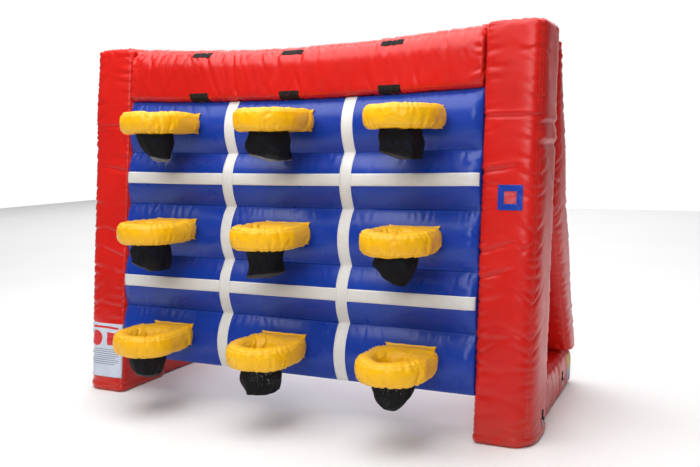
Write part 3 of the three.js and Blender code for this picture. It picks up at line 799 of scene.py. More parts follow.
def add_red_frame():
    """Returns the grids of the chambers that something is sewn on."""
    grids = {}
    for side, mirrored in (("right", False), ("left", True)):
        rng = np.random.default_rng(11 + mirrored)
        grids[side] = chamber(
            f"column_{side}",
            stations(0.0, COLUMN["height"], COLUMN_ENDS, 0.002),
            column_outline,
            column_place,
            152,
            rng,
            {"long": (0.55, 0.5, 0.8, 1.0) if mirrored else (0.5, 0.4, 0.6, 0.65), "ends": (0.0, 0.9)},
            column_folds,
            mirrored=mirrored,
        )
        chamber(
            f"rear_leg_{side}",
            stations(BASE["height"] + 0.0003, REAR_LEG_HEIGHT, (0.020, 0.025), 0.003),
            rear_leg_outline,
            rear_leg_place,
            128,
            rng,
            {"long": (0.7, 0.8, 0.8, 0.7), "ends": (0.8, 0.5)},
            mirrored=mirrored,
        )
        tube_rows = stations(COLUMN["rear"] - 0.004, BASE["rear"], (0.004, 0.045), 0.004)
        if mirrored:
            tube_rows = [row for row in tube_rows if row[0] < BASE["rear"] or row[2] > INLET_SHARE]
        grids["base_" + side] = chamber(
            f"base_tube_{side}",
            tube_rows,
            lambda at: (BASE["height"] / 2, (BASE["outer"] - BASE["inner"]) / 2, 12, 4),
            base_place,
            104,
            rng,
            {"long": (0.7, 0.7, 0.15, 0.15), "ends": (0.6, 0.7)},
            mirrored=mirrored,
            open_end=mirrored,
        )
    end = COLUMN["inner"] - 0.0003
    grids["beam"] = chamber(
        "top_beam",
        stations(-end, end, (0.020, 0.020), 0.0),
        lambda at: (beam_half(at), (BEAM["rear"] - BEAM["front"]) / 2, 12, 2.6),
        beam_place,
        150,
        np.random.default_rng(31),
        {"long": (1.0, 0.8, 0.8, 0.7), "ends": (1.0, 1.0)},
        beam_folds,
    )
    return grids


# ---------------------------------------------------------------- the blue wall
ROLL_COLS = 34


def roll_bulge(x, share):
    """How far a roll stands out at x and at a share of its height, drawn in at the columns."""
    tuck = np.clip((np.abs(x) - (COLUMN["inner"] - 0.07)) / 0.07, 0, 1)
    return WALL["bulge"] * (1 - (2 * share - 1) ** 2) * (1 - 0.42 * tuck**2.2)


def roll_height(index, side, x, share, rng):
    """Gathers over one face of a roll, below its upper seam, above its lower seam and at the two columns."""
    up = share * WALL["roll"]
    height = creased(x + FAR_OFF, WALL["roll"] - up, gathers(rng, 2 * FAR_OFF, 0.036, 0.0095, 0.080, 0.008))
    height += creased(x + FAR_OFF, up, gathers(rng, 2 * FAR_OFF, 0.050, 0.0070, 0.055, 0.009))
    for end in (-1, 1):
        away = COLUMN["inner"] - end * x
        height += creased(up, away, gathers(rng, WALL["roll"], 0.030, 0.0090, 0.085, 0.007))
    flat = np.stack([x, np.full_like(x, index * 3.1 + side), up], -1)
    return height + ripple(flat, rng, 0.0028, 0.5)


def roll_face(index, side, xs, rng):
    """A grid over the front (side -1) or back (side 1) of a roll, with the distance from the nearest seam."""
    shares = (1 - np.cos(np.linspace(0, math.pi, ROLL_COLS))) / 2
    x, share = grid(xs, shares if side < 0 else shares[::-1])
    unevenness = roll_height(index, side, x, share, rng) * np.sin(math.pi * share) ** 0.35
    if index == 0 and side > 0:
        unevenness *= ease((np.abs(x - ZIP["x"]) - FLAP["length"] / 2 - 0.02) / 0.08)
    out = np.maximum(roll_bulge(x, share) + unevenness, 0.0)
    u = -out if side < 0 else WALL["depth"] + out
    v = WALL["bottom"] + (index + share) * WALL["roll"]
    seam = np.minimum(share, 1 - share) * WALL["roll"]
    return on_wall(x, u, v), seam, x


def add_wall():
    """The five rolls. Returns a tree over their faces, which what is sewn on the wall is laid on."""
    end = COLUMN["inner"] - 0.0003
    edge = np.linspace(0, 0.06, 9)
    xs = np.concatenate([-end + edge, np.arange(-end + 0.06 + STEP, end - 0.06, STEP), end - edge[::-1]])
    vertices, faces = [], []
    for index in range(WALL["rolls"]):
        rng = np.random.default_rng(101 + index)
        front, back = roll_face(index, -1, xs, rng), roll_face(index, 1, xs, rng)
        points = np.concatenate([front[0], back[0]], 1)
        seam, run = np.concatenate([front[1], back[1]], 1), np.concatenate([front[2], back[2]], 1) + FAR_OFF
        made = grid_object(
            f"wall_roll_{index + 1}",
            points,
            "blue_vinyl",
            wrap=True,
            closed=True,
            attributes={"seam": seam, "run": run},
        )
        fit(made, stands_for=[f"wall_roll_{index + 1}"])
        faces += (grid_faces(*points.shape[:2], True)[0] + sum(len(v) for v in vertices)).tolist()
        vertices.append(points.reshape(-1, 3))
    return BVHTree.FromPolygons(np.concatenate(vertices).tolist(), faces)


# ---------------------------------------------------------------- what is laid on the chambers
def tree_of(points):
    faces, _ = grid_faces(*points.shape[:2], True)
    return BVHTree.FromPolygons(points.reshape(-1, 3).tolist(), faces.tolist())


def cast(origins, direction, tree):
    """Where rays along direction meet a surface, and its normals there, turned against the rays."""
    direction = Vector(direction).normalized()
    hits, normals = np.zeros_like(origins), np.zeros_like(origins)
    for at in np.ndindex(origins.shape[:2]):
        hit, normal, _, _ = tree.ray_cast(Vector(origins[at]), direction)
        if hit is None:
            hit, normal, _, _ = tree.find_nearest(Vector(origins[at]))
        hits[at] = hit
        normals[at] = normal if normal.dot(direction) < 0 else -normal
    return hits, normals, -np.array(direction)


def laid(name, origins, direction, tree, lift, material):
    """A thin sheet laid on a surface: each origin is moved along direction until it meets the surface."""
    hits, normals, outward = cast(origins, direction, tree)
    return sheet_from(name, hits + normals * lift, normals, lift + RIM, material, outward)


def sheet_from(name, top, normals, thick, material, outward):
    """A sheet with turned-down edges, from the grid of its outer face."""
    edge = ((1, 1), (1, 1), (0, 0))
    points, low = np.pad(top, edge, mode="edge"), np.pad(top - normals * thick, edge, mode="edge")
    points[0], points[-1], points[:, 0], points[:, -1] = low[0], low[-1], low[:, 0], low[:, -1]
    metres = np.pad(np.stack([spans(top, 0), spans(top, 1)], -1), edge, mode="edge")
    return grid_object(name, points, material, outward=outward, metres=metres)


def add_tapes(wall):
    levels = np.linspace(WALL["bottom"] + 0.001, WALL_TOP - 0.001, 260)
    across = np.linspace(-TAPE_WIDTH / 2, TAPE_WIDTH / 2, 9)
    for side, middle in (("left", -TAPE_X), ("right", TAPE_X)):
        v, x = grid(levels, middle + across)
        name = f"tape_upright_{side}"
        made = laid(name, on_wall(x, -FACE_LIFT, v), LEANING_BACK, wall, 0.0022, "white_tape")
        fit(made, stands_for=[name])
    end, edge = COLUMN["inner"] - 0.002, TAPE_X + TAPE_WIDTH / 2 + 0.0008
    inner = TAPE_X - TAPE_WIDTH / 2 - 0.0008
    for place, index in (("lower", 1), ("upper", 3)):
        crown = WALL["bottom"] + (index + 0.5) * WALL["roll"]
        for part, low, high in (("left", -end, -edge), ("middle", -inner, inner), ("right", edge, end)):
            x, v = grid(np.linspace(low, high, 91), crown + across)
            origins = on_wall(x, -FACE_LIFT, v)
            name = f"tape_level_{place}"
            made = laid(f"{name}_{part}", origins, LEANING_BACK, wall, 0.0026, "white_tape")
            fit(made, stands_for=[name])


def add_patches(beam):
    """The upper patches are tilted up to where the beam's front turns over."""
    halves = np.linspace(-0.5, 0.5, 26) * PATCH["width"], np.linspace(-0.5, 0.5, 11) * PATCH["height"]
    x, up = grid(*halves)
    for level, row in PATCH_ROWS.items():
        turn = row["tilt"] + LEAN
        inward = np.array([0, math.cos(turn), -math.sin(turn)])
        upward = np.array([0, math.sin(turn), math.cos(turn)])
        for place, step in (("left", -1), ("middle", 0), ("right", 1)):
            middle_x = step * PATCH["pitch"]
            bottom, height = beam_span(middle_x)
            middle = leaning(middle_x, row["u"], bottom + row["rise"] * height)
            spread = x[..., None] * np.array([1, 0, 0]) + up[..., None] * upward
            origins = middle + spread - inward * FACE_LIFT
            name = f"hook_patch_{level}_{place}"
            fit(laid(name, origins, inward, beam, 0.0024, "hook_tape"), stands_for=[name])


def face_grid(x, z, size, count):
    gx, gz = grid(*(middle + np.linspace(-0.5, 0.5, count) * size for middle in (x, z)))
    return np.stack([gx, np.full_like(gx, -1.5), gz], -1)


def mitred(side, x, z, inner, outer):
    """Origins over one bar of a square frame, with its ends cut at 45 degrees."""
    along, out = grid(np.linspace(-1, 1, 14), np.linspace(inner / 2, outer / 2, 14))
    sideways, upwards = {
        "top": (along * out, out),
        "bottom": (along * out, -out),
        "left": (-out, along * out),
        "right": (out, along * out),
    }[side]
    return np.stack([x + sideways, np.full_like(out, FOOT_Y - 1), z + upwards], -1)


def add_window(column):
    x, z, clear = WINDOW["x"], WINDOW["z"], WINDOW["clear"]
    tree = tree_of(column)
    for side in ("top", "bottom", "left", "right"):
        origins = mitred(side, x, z, clear, WINDOW["outer"])
        made = laid(f"window_frame_{side}", origins, (0, 1, 0), tree, 0.0030, "blue_vinyl")
        mark_edges(made)
        fit(made, stands_for=["window_frame"])
    pane = laid("window_pane", face_grid(x, z, clear + 0.01, 10), (0, 1, 0), tree, 0.0022, "clear_vinyl")
    fit(pane, stands_for=["window_pane"])


def add_safety_panel(column):
    """Wraps the left column's front and outer corner. column is its grid, whose rings are level."""
    z, normal = column[:, 0, 2], grid_normals(column, True)
    rows = np.where((z > SAFETY_PANEL["bottom"]) & (z < SAFETY_PANEL["top"]))[0]
    ring_points = column[rows[0]]
    back = FOOT_Y + lean(ring_points[0, 2]) + SAFETY_PANEL["reach"]
    seen = (ring_points[:, 1] < back) & (ring_points[:, 0] < -(COLUMN["inner"] + SAFETY_PANEL["margin"]))
    cols = np.where(seen)[0]
    start = int(np.argmax(np.diff(cols))) + 1 if np.max(np.diff(cols)) > 1 else 0
    cols = np.roll(cols, -start)
    if column[rows[0], cols[0], 0] < column[rows[0], cols[-1], 0]:
        cols = cols[::-1]
    picked = np.ix_(rows, cols)
    top = column[picked] + normal[picked] * 0.0026
    made = sheet_from("safety_panel", top, normal[picked], 0.004, "white_print_vinyl", (-0.5, -1, 0))
    fit(made, stands_for=["safety_panel"])


def add_foot_bands(grids):
    for side in ("left", "right"):
        column = grids[side]
        rows = np.where(column[:, 0, 2] < FOOT_BAND)[0][9:]
        lift = np.full(len(rows), 0.0045)
        lift[-1] = 0.0005
        top = column[rows] + grid_normals(column, True)[rows] * lift[:, None, None]
        made = grid_object(f"foot_band_{side}", top, "red_vinyl", wrap=True)
        mark_edges(made)
        fit(made, stands_for=[f"foot_band_{side}"])


def add_side_panel(tube):
    """The panel low on the outer side of the right base tube."""
    side = SIDE_PANEL
    y, z = grid(
        FOOT_Y + side["y"] + np.linspace(-0.5, 0.5, 22) * side["length"],
        side["z"] + np.linspace(-0.5, 0.5, 30) * side["height"],
    )
    origins = np.stack([np.full_like(y, BASE["outer"] + FACE_LIFT), y, z], -1)
    made = laid("side_panel", origins, (-1, 0, 0), tree_of(tube), 0.0026, "two_tone_vinyl")
    fit(made, stands_for=["side_panel"])


# ---------------------------------------------------------------- tabs, rings, sleeve and zip
def wire(radius, sides):
    """The section of a round wire."""
    return ring(radius, radius, 2, 2, sides)[:2]


def strip(half_a, half_b):
    """The section of a strip of webbing."""
    return ring(half_a, half_b, 8, 8, 16)[:2]


def swept(name, middles, first, second, outline, material, joined=False):
    """A solid swept along points. outline is its section, along the first and second directions."""
    out_a, out_b = (np.asarray(side)[None, :, None] for side in outline)
    points = middles[:, None] + first[:, None] * out_a + second[:, None] * out_b
    if joined:
        return torus_object(name, points, material, {})
    return grid_object(name, points, material, True, True)


def flat_path(path, across):
    """Both directions of a sweep along a path whose first direction is the same all along."""
    return np.tile(across, (len(path), 1)), unit(np.cross(np.gradient(path, axis=0), across))


def smooth_loop(route, steps):
    """A closed Catmull-Rom curve through the points of a route."""
    t = np.linspace(0, 1, steps, endpoint=False)[:, None]
    pieces = []
    for k in range(len(route)):
        p0, p1, p2, p3 = (route[(k + j) % len(route)] for j in (-1, 0, 1, 2))
        bend = 2 * p1 + (p2 - p0) * t + (2 * p0 - 5 * p1 + 4 * p2 - p3) * t**2
        pieces.append((bend + (3 * p1 - p0 - 3 * p2 + p3) * t**3) / 2)
    return np.concatenate(pieces)


def add_tab(place, side, sign, face):
    """Webbing folded round the ring's bar and sewn flat on the chamber, with a stitched box and cross."""
    y, z = FOOT_Y + TAB_Y[place], TAB["height"]
    eye, top = face + TAB["stand_off"], z + TAB["rise"]
    turn = np.radians(np.linspace(25, -205, 26))
    loop = np.stack([eye + TAB["eye"] * np.cos(turn), z + TAB["eye"] * np.sin(turn)], -1)
    front = np.stack([np.full(9, face + 0.0034), np.linspace(top, z + 0.016, 9)], -1)
    back = np.stack([np.full(9, face + 0.0012), np.linspace(z + 0.012, top, 9)], -1)
    path = np.concatenate([front, loop, back])
    middles = np.stack([sign * path[:, 0], np.full(len(path), y), path[:, 1]], -1)
    name = f"anchor_tab_{place}_{side}"
    section = strip(TAB["width"] / 2, TAB["thick"] / 2)
    made = swept(name, middles, *flat_path(middles, (0, 1, 0)), section, "black_webbing")
    fit(made, stands_for=[name])
    inset, low = TAB["width"] / 2 - 0.004, z + 0.022
    corners = [(-1, top), (1, top), (-1, low), (1, low), (1, top), (-1, low), (-1, top), (1, low), (-1, low)]
    route = np.array([(sign * (face + 0.0042), y + at * inset, min(h, top - 0.004)) for at, h in corners])
    shares = np.linspace(0, 1, 8)[:-1, None]
    thread = np.concatenate([lerp(one, other, shares) for one, other in zip(route, route[1:])])
    path = flat_path(thread, (sign, 0, 0))
    stitched = swept(f"{name}_stitches", thread, *path, wire(0.0004, 6), "grey_hem")
    fit(stitched)


def add_ring(place, side, sign, face):
    """A D-ring: a bar through the tab's eye, and a bow below it."""
    x, y, z = sign * (face + TAB["stand_off"]), FOOT_Y + TAB_Y[place], TAB["height"]
    route = [(x, y + share * RING["half_bar"], z) for share in (-1, -0.5, 0, 0.5, 1)]
    for bend in np.radians(np.linspace(8, 172, 9)):
        sink = lerp(RING["wire"], RING["drop"], math.sin(bend))
        route.append((x, y + RING["half_width"] * math.cos(bend), z - sink))
    middles = smooth_loop(np.array(route), 8)
    second = unit(np.cross(np.roll(middles, -1, 0) - np.roll(middles, 1, 0), (1, 0, 0)))
    first = np.tile((1.0, 0, 0), (len(middles), 1))
    name = f"d_ring_{place}_{side}"
    made = swept(name, middles, first, second, wire(RING["wire"], 14), "plated_steel", joined=True)
    fit(made, body=f"{name}_body", stands_for=[name])


def add_anchors():
    for place, face in (("front", COLUMN["outer"]), ("rear", BASE["outer"])):
        for side, sign in (("right", 1), ("left", -1)):
            add_tab(place, side, sign, face)
            add_ring(place, side, sign, face)


def add_sleeve():
    """The soft tube that the blower's outlet goes in, gathered where its strap goes round it."""
    rng = np.random.default_rng(91)
    start, end = BASE["rear"] - SLEEVE["inside"], BASE["rear"] + SLEEVE["length"]
    y, turn = grid(np.linspace(start, end, 60), np.linspace(0, 2 * math.pi, 96, endpoint=False))
    strap_at = BASE["rear"] + SLEEVE["strap_from"] + SLEEVE["strap_width"] / 2
    pinch = np.exp(-(((y - strap_at) / 0.028) ** 2))
    pleats = 0.5 + 0.5 * np.sin(19 * turn + 2 * np.sin(turn))
    radius = SLEEVE["radius"] - 0.0015 - 0.006 * pinch - 0.004 * pinch * pleats
    loose = ease((y - BASE["rear"]) / 0.05)
    radius += loose * (0.003 * np.sin(5 * turn + 30 * y) - 0.003 + 0.0015 * np.sin(11 * turn - 40 * y))
    around = turn * SLEEVE["radius"]
    radius += creased(around, end - y, gathers(rng, 0.68, 0.05, 0.004, 0.05, 0.008)) * loose
    middle = np.array([-SIDE_X, FOOT_Y, BASE["height"] / 2])
    points = middle + np.stack([radius * np.cos(turn), y, radius * np.sin(turn)], -1)
    marks = {"seam": end - y, "run": around}
    made = grid_object("inflation_sleeve", points, "red_vinyl", wrap=True, attributes=marks)
    add_thickness(made, 0.0012)
    fit(made, stands_for=["inflation_sleeve"])
    add_strap(middle + np.array([0, strap_at, 0]))


def add_strap(middle):
    """Webbing round the sleeve, with its end hanging down."""
    turn = np.linspace(0, 2 * math.pi, 90, endpoint=False)
    outward = np.stack([np.cos(turn), np.zeros(90), np.sin(turn)], -1)
    across = np.tile((0.0, 1, 0), (90, 1))
    half = SLEEVE["strap_width"] / 2
    around = middle + outward * 0.1085
    band = swept("sleeve_strap", around, outward, across, strip(0.0011, half), "black_webbing", joined=True)
    fit(band, stands_for=["sleeve_strap"])
    drop = np.linspace(0, 1, 20)
    tail = middle + np.stack([-0.1105 - 0.006 * np.sin(2.5 * drop), 0.004 * drop, -0.11 * drop], -1)
    made = swept("strap_tail", tail, *flat_path(tail, (0, 1, 0)), strip(half, 0.0009), "black_webbing")
    fit(made)


def plate(name, outline, low_u, high_u):
    """A steel plate with eased edges, parallel to the wall: outline is its corners, as x and v."""
    outline, bevel = np.array(outline), 0.0004
    centre = outline.mean(0)
    eased = centre + (outline - centre) * (1 - bevel / np.abs(outline - centre).max())
    rings = [(eased, low_u), (outline, low_u + bevel), (outline, high_u - bevel), (eased, high_u)]
    points = np.array([leaning(edge[:, 0], u, edge[:, 1]) for edge, u in rings])
    made = grid_object(name, points, "plated_steel", wrap=True, closed=True)
    return fit(made, body="zip_slider_body")


def add_zip(wall):
    crown_u, crown_v = WALL["depth"] + WALL["bulge"], WALL["bottom"] + WALL["roll"] / 2
    low, high = ZIP["x"] - ZIP["length"] / 2, ZIP["x"] + ZIP["length"] / 2
    x, v = grid(np.linspace(low, high, 61), crown_v + np.linspace(-0.5, 0.5, 11) * ZIP["tape"])
    forward = tuple(-side for side in LEANING_BACK)
    origins = leaning(x, crown_u + FACE_LIFT, v)
    tape = laid("zip_tape", origins, forward, wall, 0.0014, "black_webbing")
    fit(tape, stands_for=["zip_tape"])
    add_teeth(low, high, crown_u + 0.0018, crown_v)
    add_slider(low, crown_u + 0.0018, crown_v)
    add_flap(crown_u + 0.0003, crown_v)


def add_teeth(low, high, u, v):
    """Two rows of moulded teeth that mesh along the middle of the tape."""
    count = int((high - low) / 0.0025)
    vertices, faces = [], []
    for k in range(count):
        x, side = low + (k + 0.5) * 0.0025, (-1) ** k * 0.0012
        for depth, half_x, half_v in ((-0.0006, 0.0011, 0.0021), (0.0028, 0.0008, 0.0017)):
            corners = [(-1, -1), (1, -1), (1, 1), (-1, 1)]
            vertices += [leaning(x + a * half_x, u + depth, v + side + b * half_v) for a, b in corners]
        base = 8 * k
        faces += [tuple(base + c for c in face) for face in ((3, 2, 1, 0), (4, 5, 6, 7))]
        faces += [(base + c, base + (c + 1) % 4, base + (c + 1) % 4 + 4, base + c + 4) for c in range(4)]
    uvs = np.tile([(0, 0), (0.002, 0), (0.002, 0.002), (0, 0.002)], (len(faces), 1))
    made = mesh_object("zip_teeth", np.array(vertices), faces, uvs, "dark_hem", outward=LEANING_BACK)
    made.data.polygons.foreach_set("use_smooth", np.zeros(len(faces), bool))
    fit(made)


def add_slider(x, u, v):
    """A slider body tapered to one end, its two side walls, the bridge and the pull."""
    half, length = ZIP["tall"] / 2, ZIP["slider"]
    shape = [(0, -half), (0.010, -half), (length - 0.002, -half + 0.002), (length, -half + 0.004)]
    shape += [(a, -b) for a, b in shape[::-1]]
    outline = [(x + a, v + b) for a, b in shape]
    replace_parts(plate("zip_slider_plate", outline, u + 0.0036, u + 0.0056), "zip_slider")
    for place, sign in (("upper", 1), ("lower", -1)):
        edge = [(0.001, 0.0058), (0.019, 0.0044), (0.019, 0.0056), (0.001, 0.0070)]
        side = [(x + a, v + sign * b) for a, b in edge]
        plate(f"zip_slider_wall_{place}", side, u + 0.0009, u + 0.0042)
    rise = np.linspace(0, math.pi, 16)
    middle = x + 0.012
    bridge = leaning(middle - 0.007 * np.cos(rise), u + 0.0054 + 0.0030 * np.sin(rise), np.full(16, v))
    made = swept("zip_slider_bridge", bridge, *flat_path(bridge, UPRIGHT), wire(0.0009, 10), "plated_steel")
    fit(made, body="zip_slider_body")
    turn = np.linspace(0, math.pi, 9)
    pull = [(middle + 0.0045 * math.cos(t), v - 0.026 - 0.0045 * math.sin(t)) for t in turn]
    pull += [(middle - 0.0030, v + 0.001), (middle + 0.0030, v + 0.001)]
    plate("zip_slider_pull", pull, u + 0.0070, u + 0.0082)


def add_flap(u, v):
    """The flap over the zip, hemmed all round, and the header that it hinges on."""
    half, hinge = FLAP["length"] / 2, v + FLAP["top"]
    face = u + FLAP["stand_off"]
    x, down = grid(np.linspace(-half, half, 90), np.linspace(0.0006, FLAP["height"], 24))
    wave = 0.0012 * np.sin(x * 21 + 1) * ease(down / 0.06)
    wave += 0.0008 * np.sin(x * 55) * ease((down - 0.04) / 0.04)
    points = leaning(ZIP["x"] + x, face + 0.0012 + wave, hinge - down)
    edge = np.minimum(half - np.abs(x), FLAP["height"] - down)
    along = np.where(half - np.abs(x) < FLAP["height"] - down, down, x + half)
    flap = grid_object("zip_flap", points, "red_vinyl", attributes={"seam": edge, "run": along})
    add_thickness(flap, 0.0016)
    fit(flap, body="zip_flap_body", stands_for=["zip_flap"])
    reach = (FLAP["stand_off"] + 0.016) / 2
    xs = np.linspace(-half, half, 120)
    middles = leaning(ZIP["x"] + xs, face + 0.002 - reach, np.full(120, hinge + FLAP["header"] / 2 + 0.0003))
    outward, upward = np.tile(OUTWARD, (120, 1)), np.tile(UPRIGHT, (120, 1))
    section = ring(reach, FLAP["header"] / 2, 4, 6, 20)[:2]
    puckered = 1 - 0.06 * (0.5 + 0.5 * np.sin(xs * 130 + 3 * np.sin(xs * 9)))
    upward = upward * puckered[:, None]
    header = swept("zip_flap_header", middles, outward, upward, section, "red_vinyl")
    mark_edges(header)
    fit(header, stands_for=["zip_flap_header"])


# ---------------------------------------------------------------- hoops and nets
HOOP_COLS = 160
HOOP_COUNTS = (16, 18, 14, 16)
# How the four seams of a hoop's tube gather: depth, reach and spacing. The first two are its outer edge's.
HOOP_SEAMS = ((0.015, 0.050, 0.036), (0.016, 0.055, 0.032), (0.014, 0.045, 0.040), (0.010, 0.050, 0.044))
BAG_KEYS = ("depth", "floor", "shift", "square", "tilt", "waist", "point", "hem")
# How each bag hangs, in the order of BAG_KEYS.
BAGS = {
    "bottom_left": (0.172, 0.086, 0.000, 2.2, 0.000, 0.00, 0.50, "dark"),
    "bottom_middle": (0.190, 0.094, 0.000, 3.0, 0.010, -0.06, 0.25, "mesh"),
    "bottom_right": (0.186, 0.070, 0.010, 2.2, 0.020, -0.05, 0.90, "mesh"),
    "middle_left": (0.176, 0.104, 0.000, 4.0, -0.035, 0.00, 0.15, "dark"),
    "middle_middle": (0.188, 0.112, 0.010, 2.6, 0.020, 0.16, 0.30, "dark"),
    "middle_right": (0.184, 0.074, -0.020, 2.4, -0.030, -0.10, 0.70, "mesh"),
    "top_left": (0.186, 0.058, 0.045, 2.4, -0.010, -0.02, 0.40, "grey"),
    "top_middle": (0.182, 0.114, 0.000, 4.5, -0.025, 0.00, 0.10, "grey"),
    "top_right": (0.176, 0.110, 0.005, 4.0, -0.030, 0.00, 0.15, "dark"),
}
NET_COLS, NET_ROWS, FLOOR_ROWS = 88, 30, 9
HEM_FROM = 0.93  # the share of a bag's rows above its hem


def hoop_outline(angle):
    """The outer edge of a hoop: round towards the players and square towards the wall."""
    to_side, to_back = np.cos(angle), np.sin(angle)
    power = np.where(to_back > 0, 4.0, 2.0)
    reach = np.where(to_back > 0, HOOP["back_reach"], HOOP["radius"])
    x = np.sign(to_side) * HOOP["radius"] * np.abs(to_side) ** (2 / power)
    return x, np.sign(to_back) * reach * np.abs(to_back) ** (2 / power)


def hoop_profile(count):
    """The tube's section, as shares out from the hole and heights: four bulging panels."""
    corners = [(0.90, -0.78), (0.90, 0.78), (0.12, 0.72), (0.12, -0.72)]
    bulges = [(0.10, 0.0), (0.0, 0.24), (-0.12, 0.0), (0.0, -0.24)]
    out, up = [], []
    for k, (start, bulge) in enumerate(zip(corners, bulges)):
        end = corners[(k + 1) % 4]
        t = np.arange(count[k]) / count[k]
        puff = np.sin(math.pi * t) ** 0.7
        out.append(lerp(start[0], end[0], t) + bulge[0] * puff)
        up.append(lerp(start[1], end[1], t) + bulge[1] * puff)
    return np.concatenate(out), np.concatenate(up)


def hoop(name, x, z, rng):
    out, up = hoop_profile(HOOP_COUNTS)
    angle = np.arange(HOOP_COLS) / HOOP_COLS * 2 * math.pi
    outer_x, outer_y = hoop_outline(angle)
    inner_x, inner_y = HOOP["hole"] * np.cos(angle), HOOP["hole"] * np.sin(angle)
    px = lerp(inner_x[:, None], outer_x[:, None], out[None, :])
    py = lerp(inner_y[:, None], outer_y[:, None], out[None, :])
    pz = np.ones_like(px) * up[None, :] * HOOP["half_height"]
    points = np.stack([px, py, pz], -1)
    section = spans(points, 1, True)
    marks = np.cumsum((0,) + HOOP_COUNTS)
    height = ripple(points + np.array([x, 0, z]), rng, 0.004, 0.20)
    nearest = np.full(points.shape[:2], 1.0)
    for k, (depth, reach, spacing) in enumerate(HOOP_SEAMS):
        gap = np.abs(section[:, :-1] - section[:, marks[k] : marks[k] + 1])
        away = np.minimum(gap, section[:, -1:] - gap)
        radius = HOOP["radius"] if k < 2 else HOOP["hole"]
        spots = gathers(rng, 2 * math.pi * radius, spacing, depth, reach, 0.009)
        height += creased(angle[:, None] * radius, away, spots) + sewn(away, 0.005, 0.007)
        nearest = np.minimum(nearest, away)
    around = angle[:, None] * HOOP["radius"] + 0 * nearest
    height += creased(around, pz, gathers(rng, 2 * math.pi * HOOP["radius"], 0.16, 0.010, 0.05, 0.022))
    normal = ring_normals(points)
    middle = np.array([x, FOOT_Y + lean(z) - HOOP["from_wall"], z])
    points = points + normal * np.minimum(height, 0.003)[..., None] + middle
    v = points[..., 2] / math.cos(LEAN) + wall_sag(points[..., 0], z)
    bulge = roll_bulge(points[..., 0], (v - WALL["bottom"]) / WALL["roll"] % 1.0)
    roll_front = FOOT_Y + lean(points[..., 2]) - bulge / math.cos(LEAN)
    points[..., 1] = np.minimum(points[..., 1], roll_front - 0.002)
    made = torus_object(name, points, "yellow_vinyl", {"seam": nearest, "run": around})
    fit(made, stands_for=[name])


def flange(name, x, z, wall, rng):
    """The doubled edge that joins a hoop to its roll, with an ear at each corner."""
    a, b = grid(np.linspace(-1, 1, 41), np.linspace(-1, 1, 15))
    corner = (np.abs(a) * np.abs(b)) ** 6
    gx = x + a * FLANGE["half_width"] * (1 - 0.04 * (1 - b * b)) + np.sign(a) * 0.007 * corner
    gz = z + b * FLANGE["half_height"] * (1 - 0.012 * np.cos(a * 9)) + np.sign(b) * 0.005 * corner
    hits, _, outward = cast(np.stack([gx, np.full_like(gx, FOOT_Y - 1), gz], -1), (0, 1, 0), wall)
    lift = 0.004 + 0.014 * corner * rng.uniform(0.5, 1.0) + 0.003 * np.abs(a) ** 8
    normals = np.broadcast_to(outward, hits.shape)
    made = sheet_from(name, hits + normals * lift[..., None], normals, 0.004, "yellow_vinyl", outward)
    mark_edges(made)
    fit(made)


def net_rings(key, x, z):
    """The rings of a bag, from its mouth down its side and in across its floor."""
    bag = dict(zip(BAG_KEYS, BAGS[key]))
    angle = np.arange(NET_COLS) / NET_COLS * 2 * math.pi
    phase = sum(map(ord, key)) % 63 / 10
    droop = 0.030 * bag["point"]
    bottom = -HOOP["half_height"] - bag["depth"]
    for i in range(NET_ROWS + FLOOR_ROWS):
        down = min(1.0, i / (NET_ROWS - 1))
        inward = max(0.0, (i - NET_ROWS + 1) / FLOOR_ROWS)
        radius = lerp(NET_MOUTH, bag["floor"], down ** (1 + bag["point"]))
        radius *= (1 - bag["waist"] * math.sin(math.pi * down) ** 1.5) * (1 - inward) ** 0.8
        power = lerp(2.0, bag["square"], ease(down * 1.6))
        c, s = np.cos(angle), np.sin(angle)
        shape = (np.abs(c) ** power + np.abs(s) ** power) ** (-1 / power)
        shape *= 1 + 0.06 * down * np.sin(3 * angle + 7 * down + phase)
        shape *= 1 + 0.035 * np.sin(9 * angle + 2 * phase + 3 * down) * ease(down * 2)
        px = x + bag["shift"] * down**1.2 + radius * shape * c
        py = FOOT_Y + lean(z) - HOOP["from_wall"] + radius * shape * s
        level = lerp(NET_TOP, bottom + droop + 0.012, down) - (droop + 0.012) * inward**0.7
        tilt = bag["tilt"] * down**2 * (px - x) / max(bag["floor"], 0.05)
        pz = level + tilt + 0.004 * np.sin(2 * angle + 5) * down
        yield np.stack([px, py, z + np.maximum(pz, bottom)], -1)


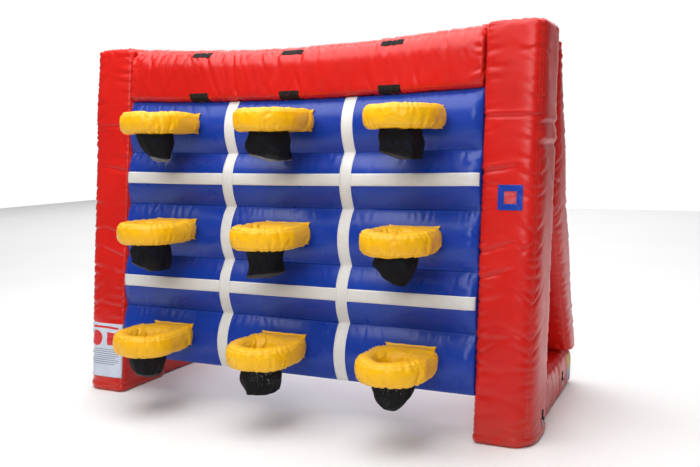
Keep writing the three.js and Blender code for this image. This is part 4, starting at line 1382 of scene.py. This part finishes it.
def net(name, key, x, z):
    points = np.array(list(net_rings(key, x, z)))
    made = grid_object(name, points, "black_mesh", wrap=True)
    hem = BAGS[key][-1] + "_hem"
    if hem in MATERIALS:
        made.data.materials.append(MATERIALS[hem])
        slots = np.zeros(len(made.data.polygons), np.int32)
        slots[int(NET_ROWS * HEM_FROM) * NET_COLS :] = 1
        made.data.polygons.foreach_set("material_index", slots)
    add_thickness(made, 0.0012)
    fit(made, stands_for=[name])


def add_baskets(wall):
    for level, row in enumerate(("bottom", "middle", "top")):
        z = FIRST_HOOP_Z + level * HOOP_PITCH_Z
        for file, place in enumerate(("left", "middle", "right")):
            x = (file - 1) * HOOP_PITCH_X + HOOP_SHIFT_X
            key = f"{row}_{place}"
            rng = np.random.default_rng(501 + 10 * level + file)
            hoop(f"hoop_{key}", x, z, rng)
            flange(f"flange_{key}", x, z, wall, rng)
            net(f"net_{key}", key, x, z)


# ---------------------------------------------------------------- build
def add_floor():
    far = FLOOR["half_size"]
    mesh = bpy.data.meshes.new("floor")
    mesh.from_pydata([(-far, -far, 0), (far, -far, 0), (far, far, 0), (-far, far, 0)], [], [(0, 1, 2, 3)])
    mesh.materials.append(floor_material())
    floor = bpy.data.objects.new("floor", mesh)
    floor.location = (0, 0, -FLOOR["below"])
    bpy.context.scene.collection.objects.link(floor)


make_camera()
make_world()
make_light("sky", (-0.4, -1.6, 6.5), (0, 0.1, 1), 6.5, 545)
make_light("key", (3.0, -9.0, 5.5), (0, 0, 1.2), 4.0, 255)
make_light("far_floor", (-5, 14, 9), (-5, 14.01, 0), 24.0, 2500)
bpy.context.scene.view_settings.view_transform = "Standard"
add_floor()
grids = add_red_frame()
wall_tree = add_wall()
add_tapes(wall_tree)
add_patches(tree_of(grids["beam"]))
add_window(grids["right"])
add_safety_panel(grids["left"])
add_foot_bands(grids)
add_side_panel(grids["base_right"])
add_anchors()
add_sleeve()
add_zip(wall_tree)
add_baskets(wall_tree)

slots = {part["node"]: part["material_slot"] for part in frame["record"]["subparts"]}
for node_name, node in frame["nodes"].items():
    if not node.hide_render:
        node.data.materials.clear()
        node.data.materials.append(MATERIALS[slots[node_name]])
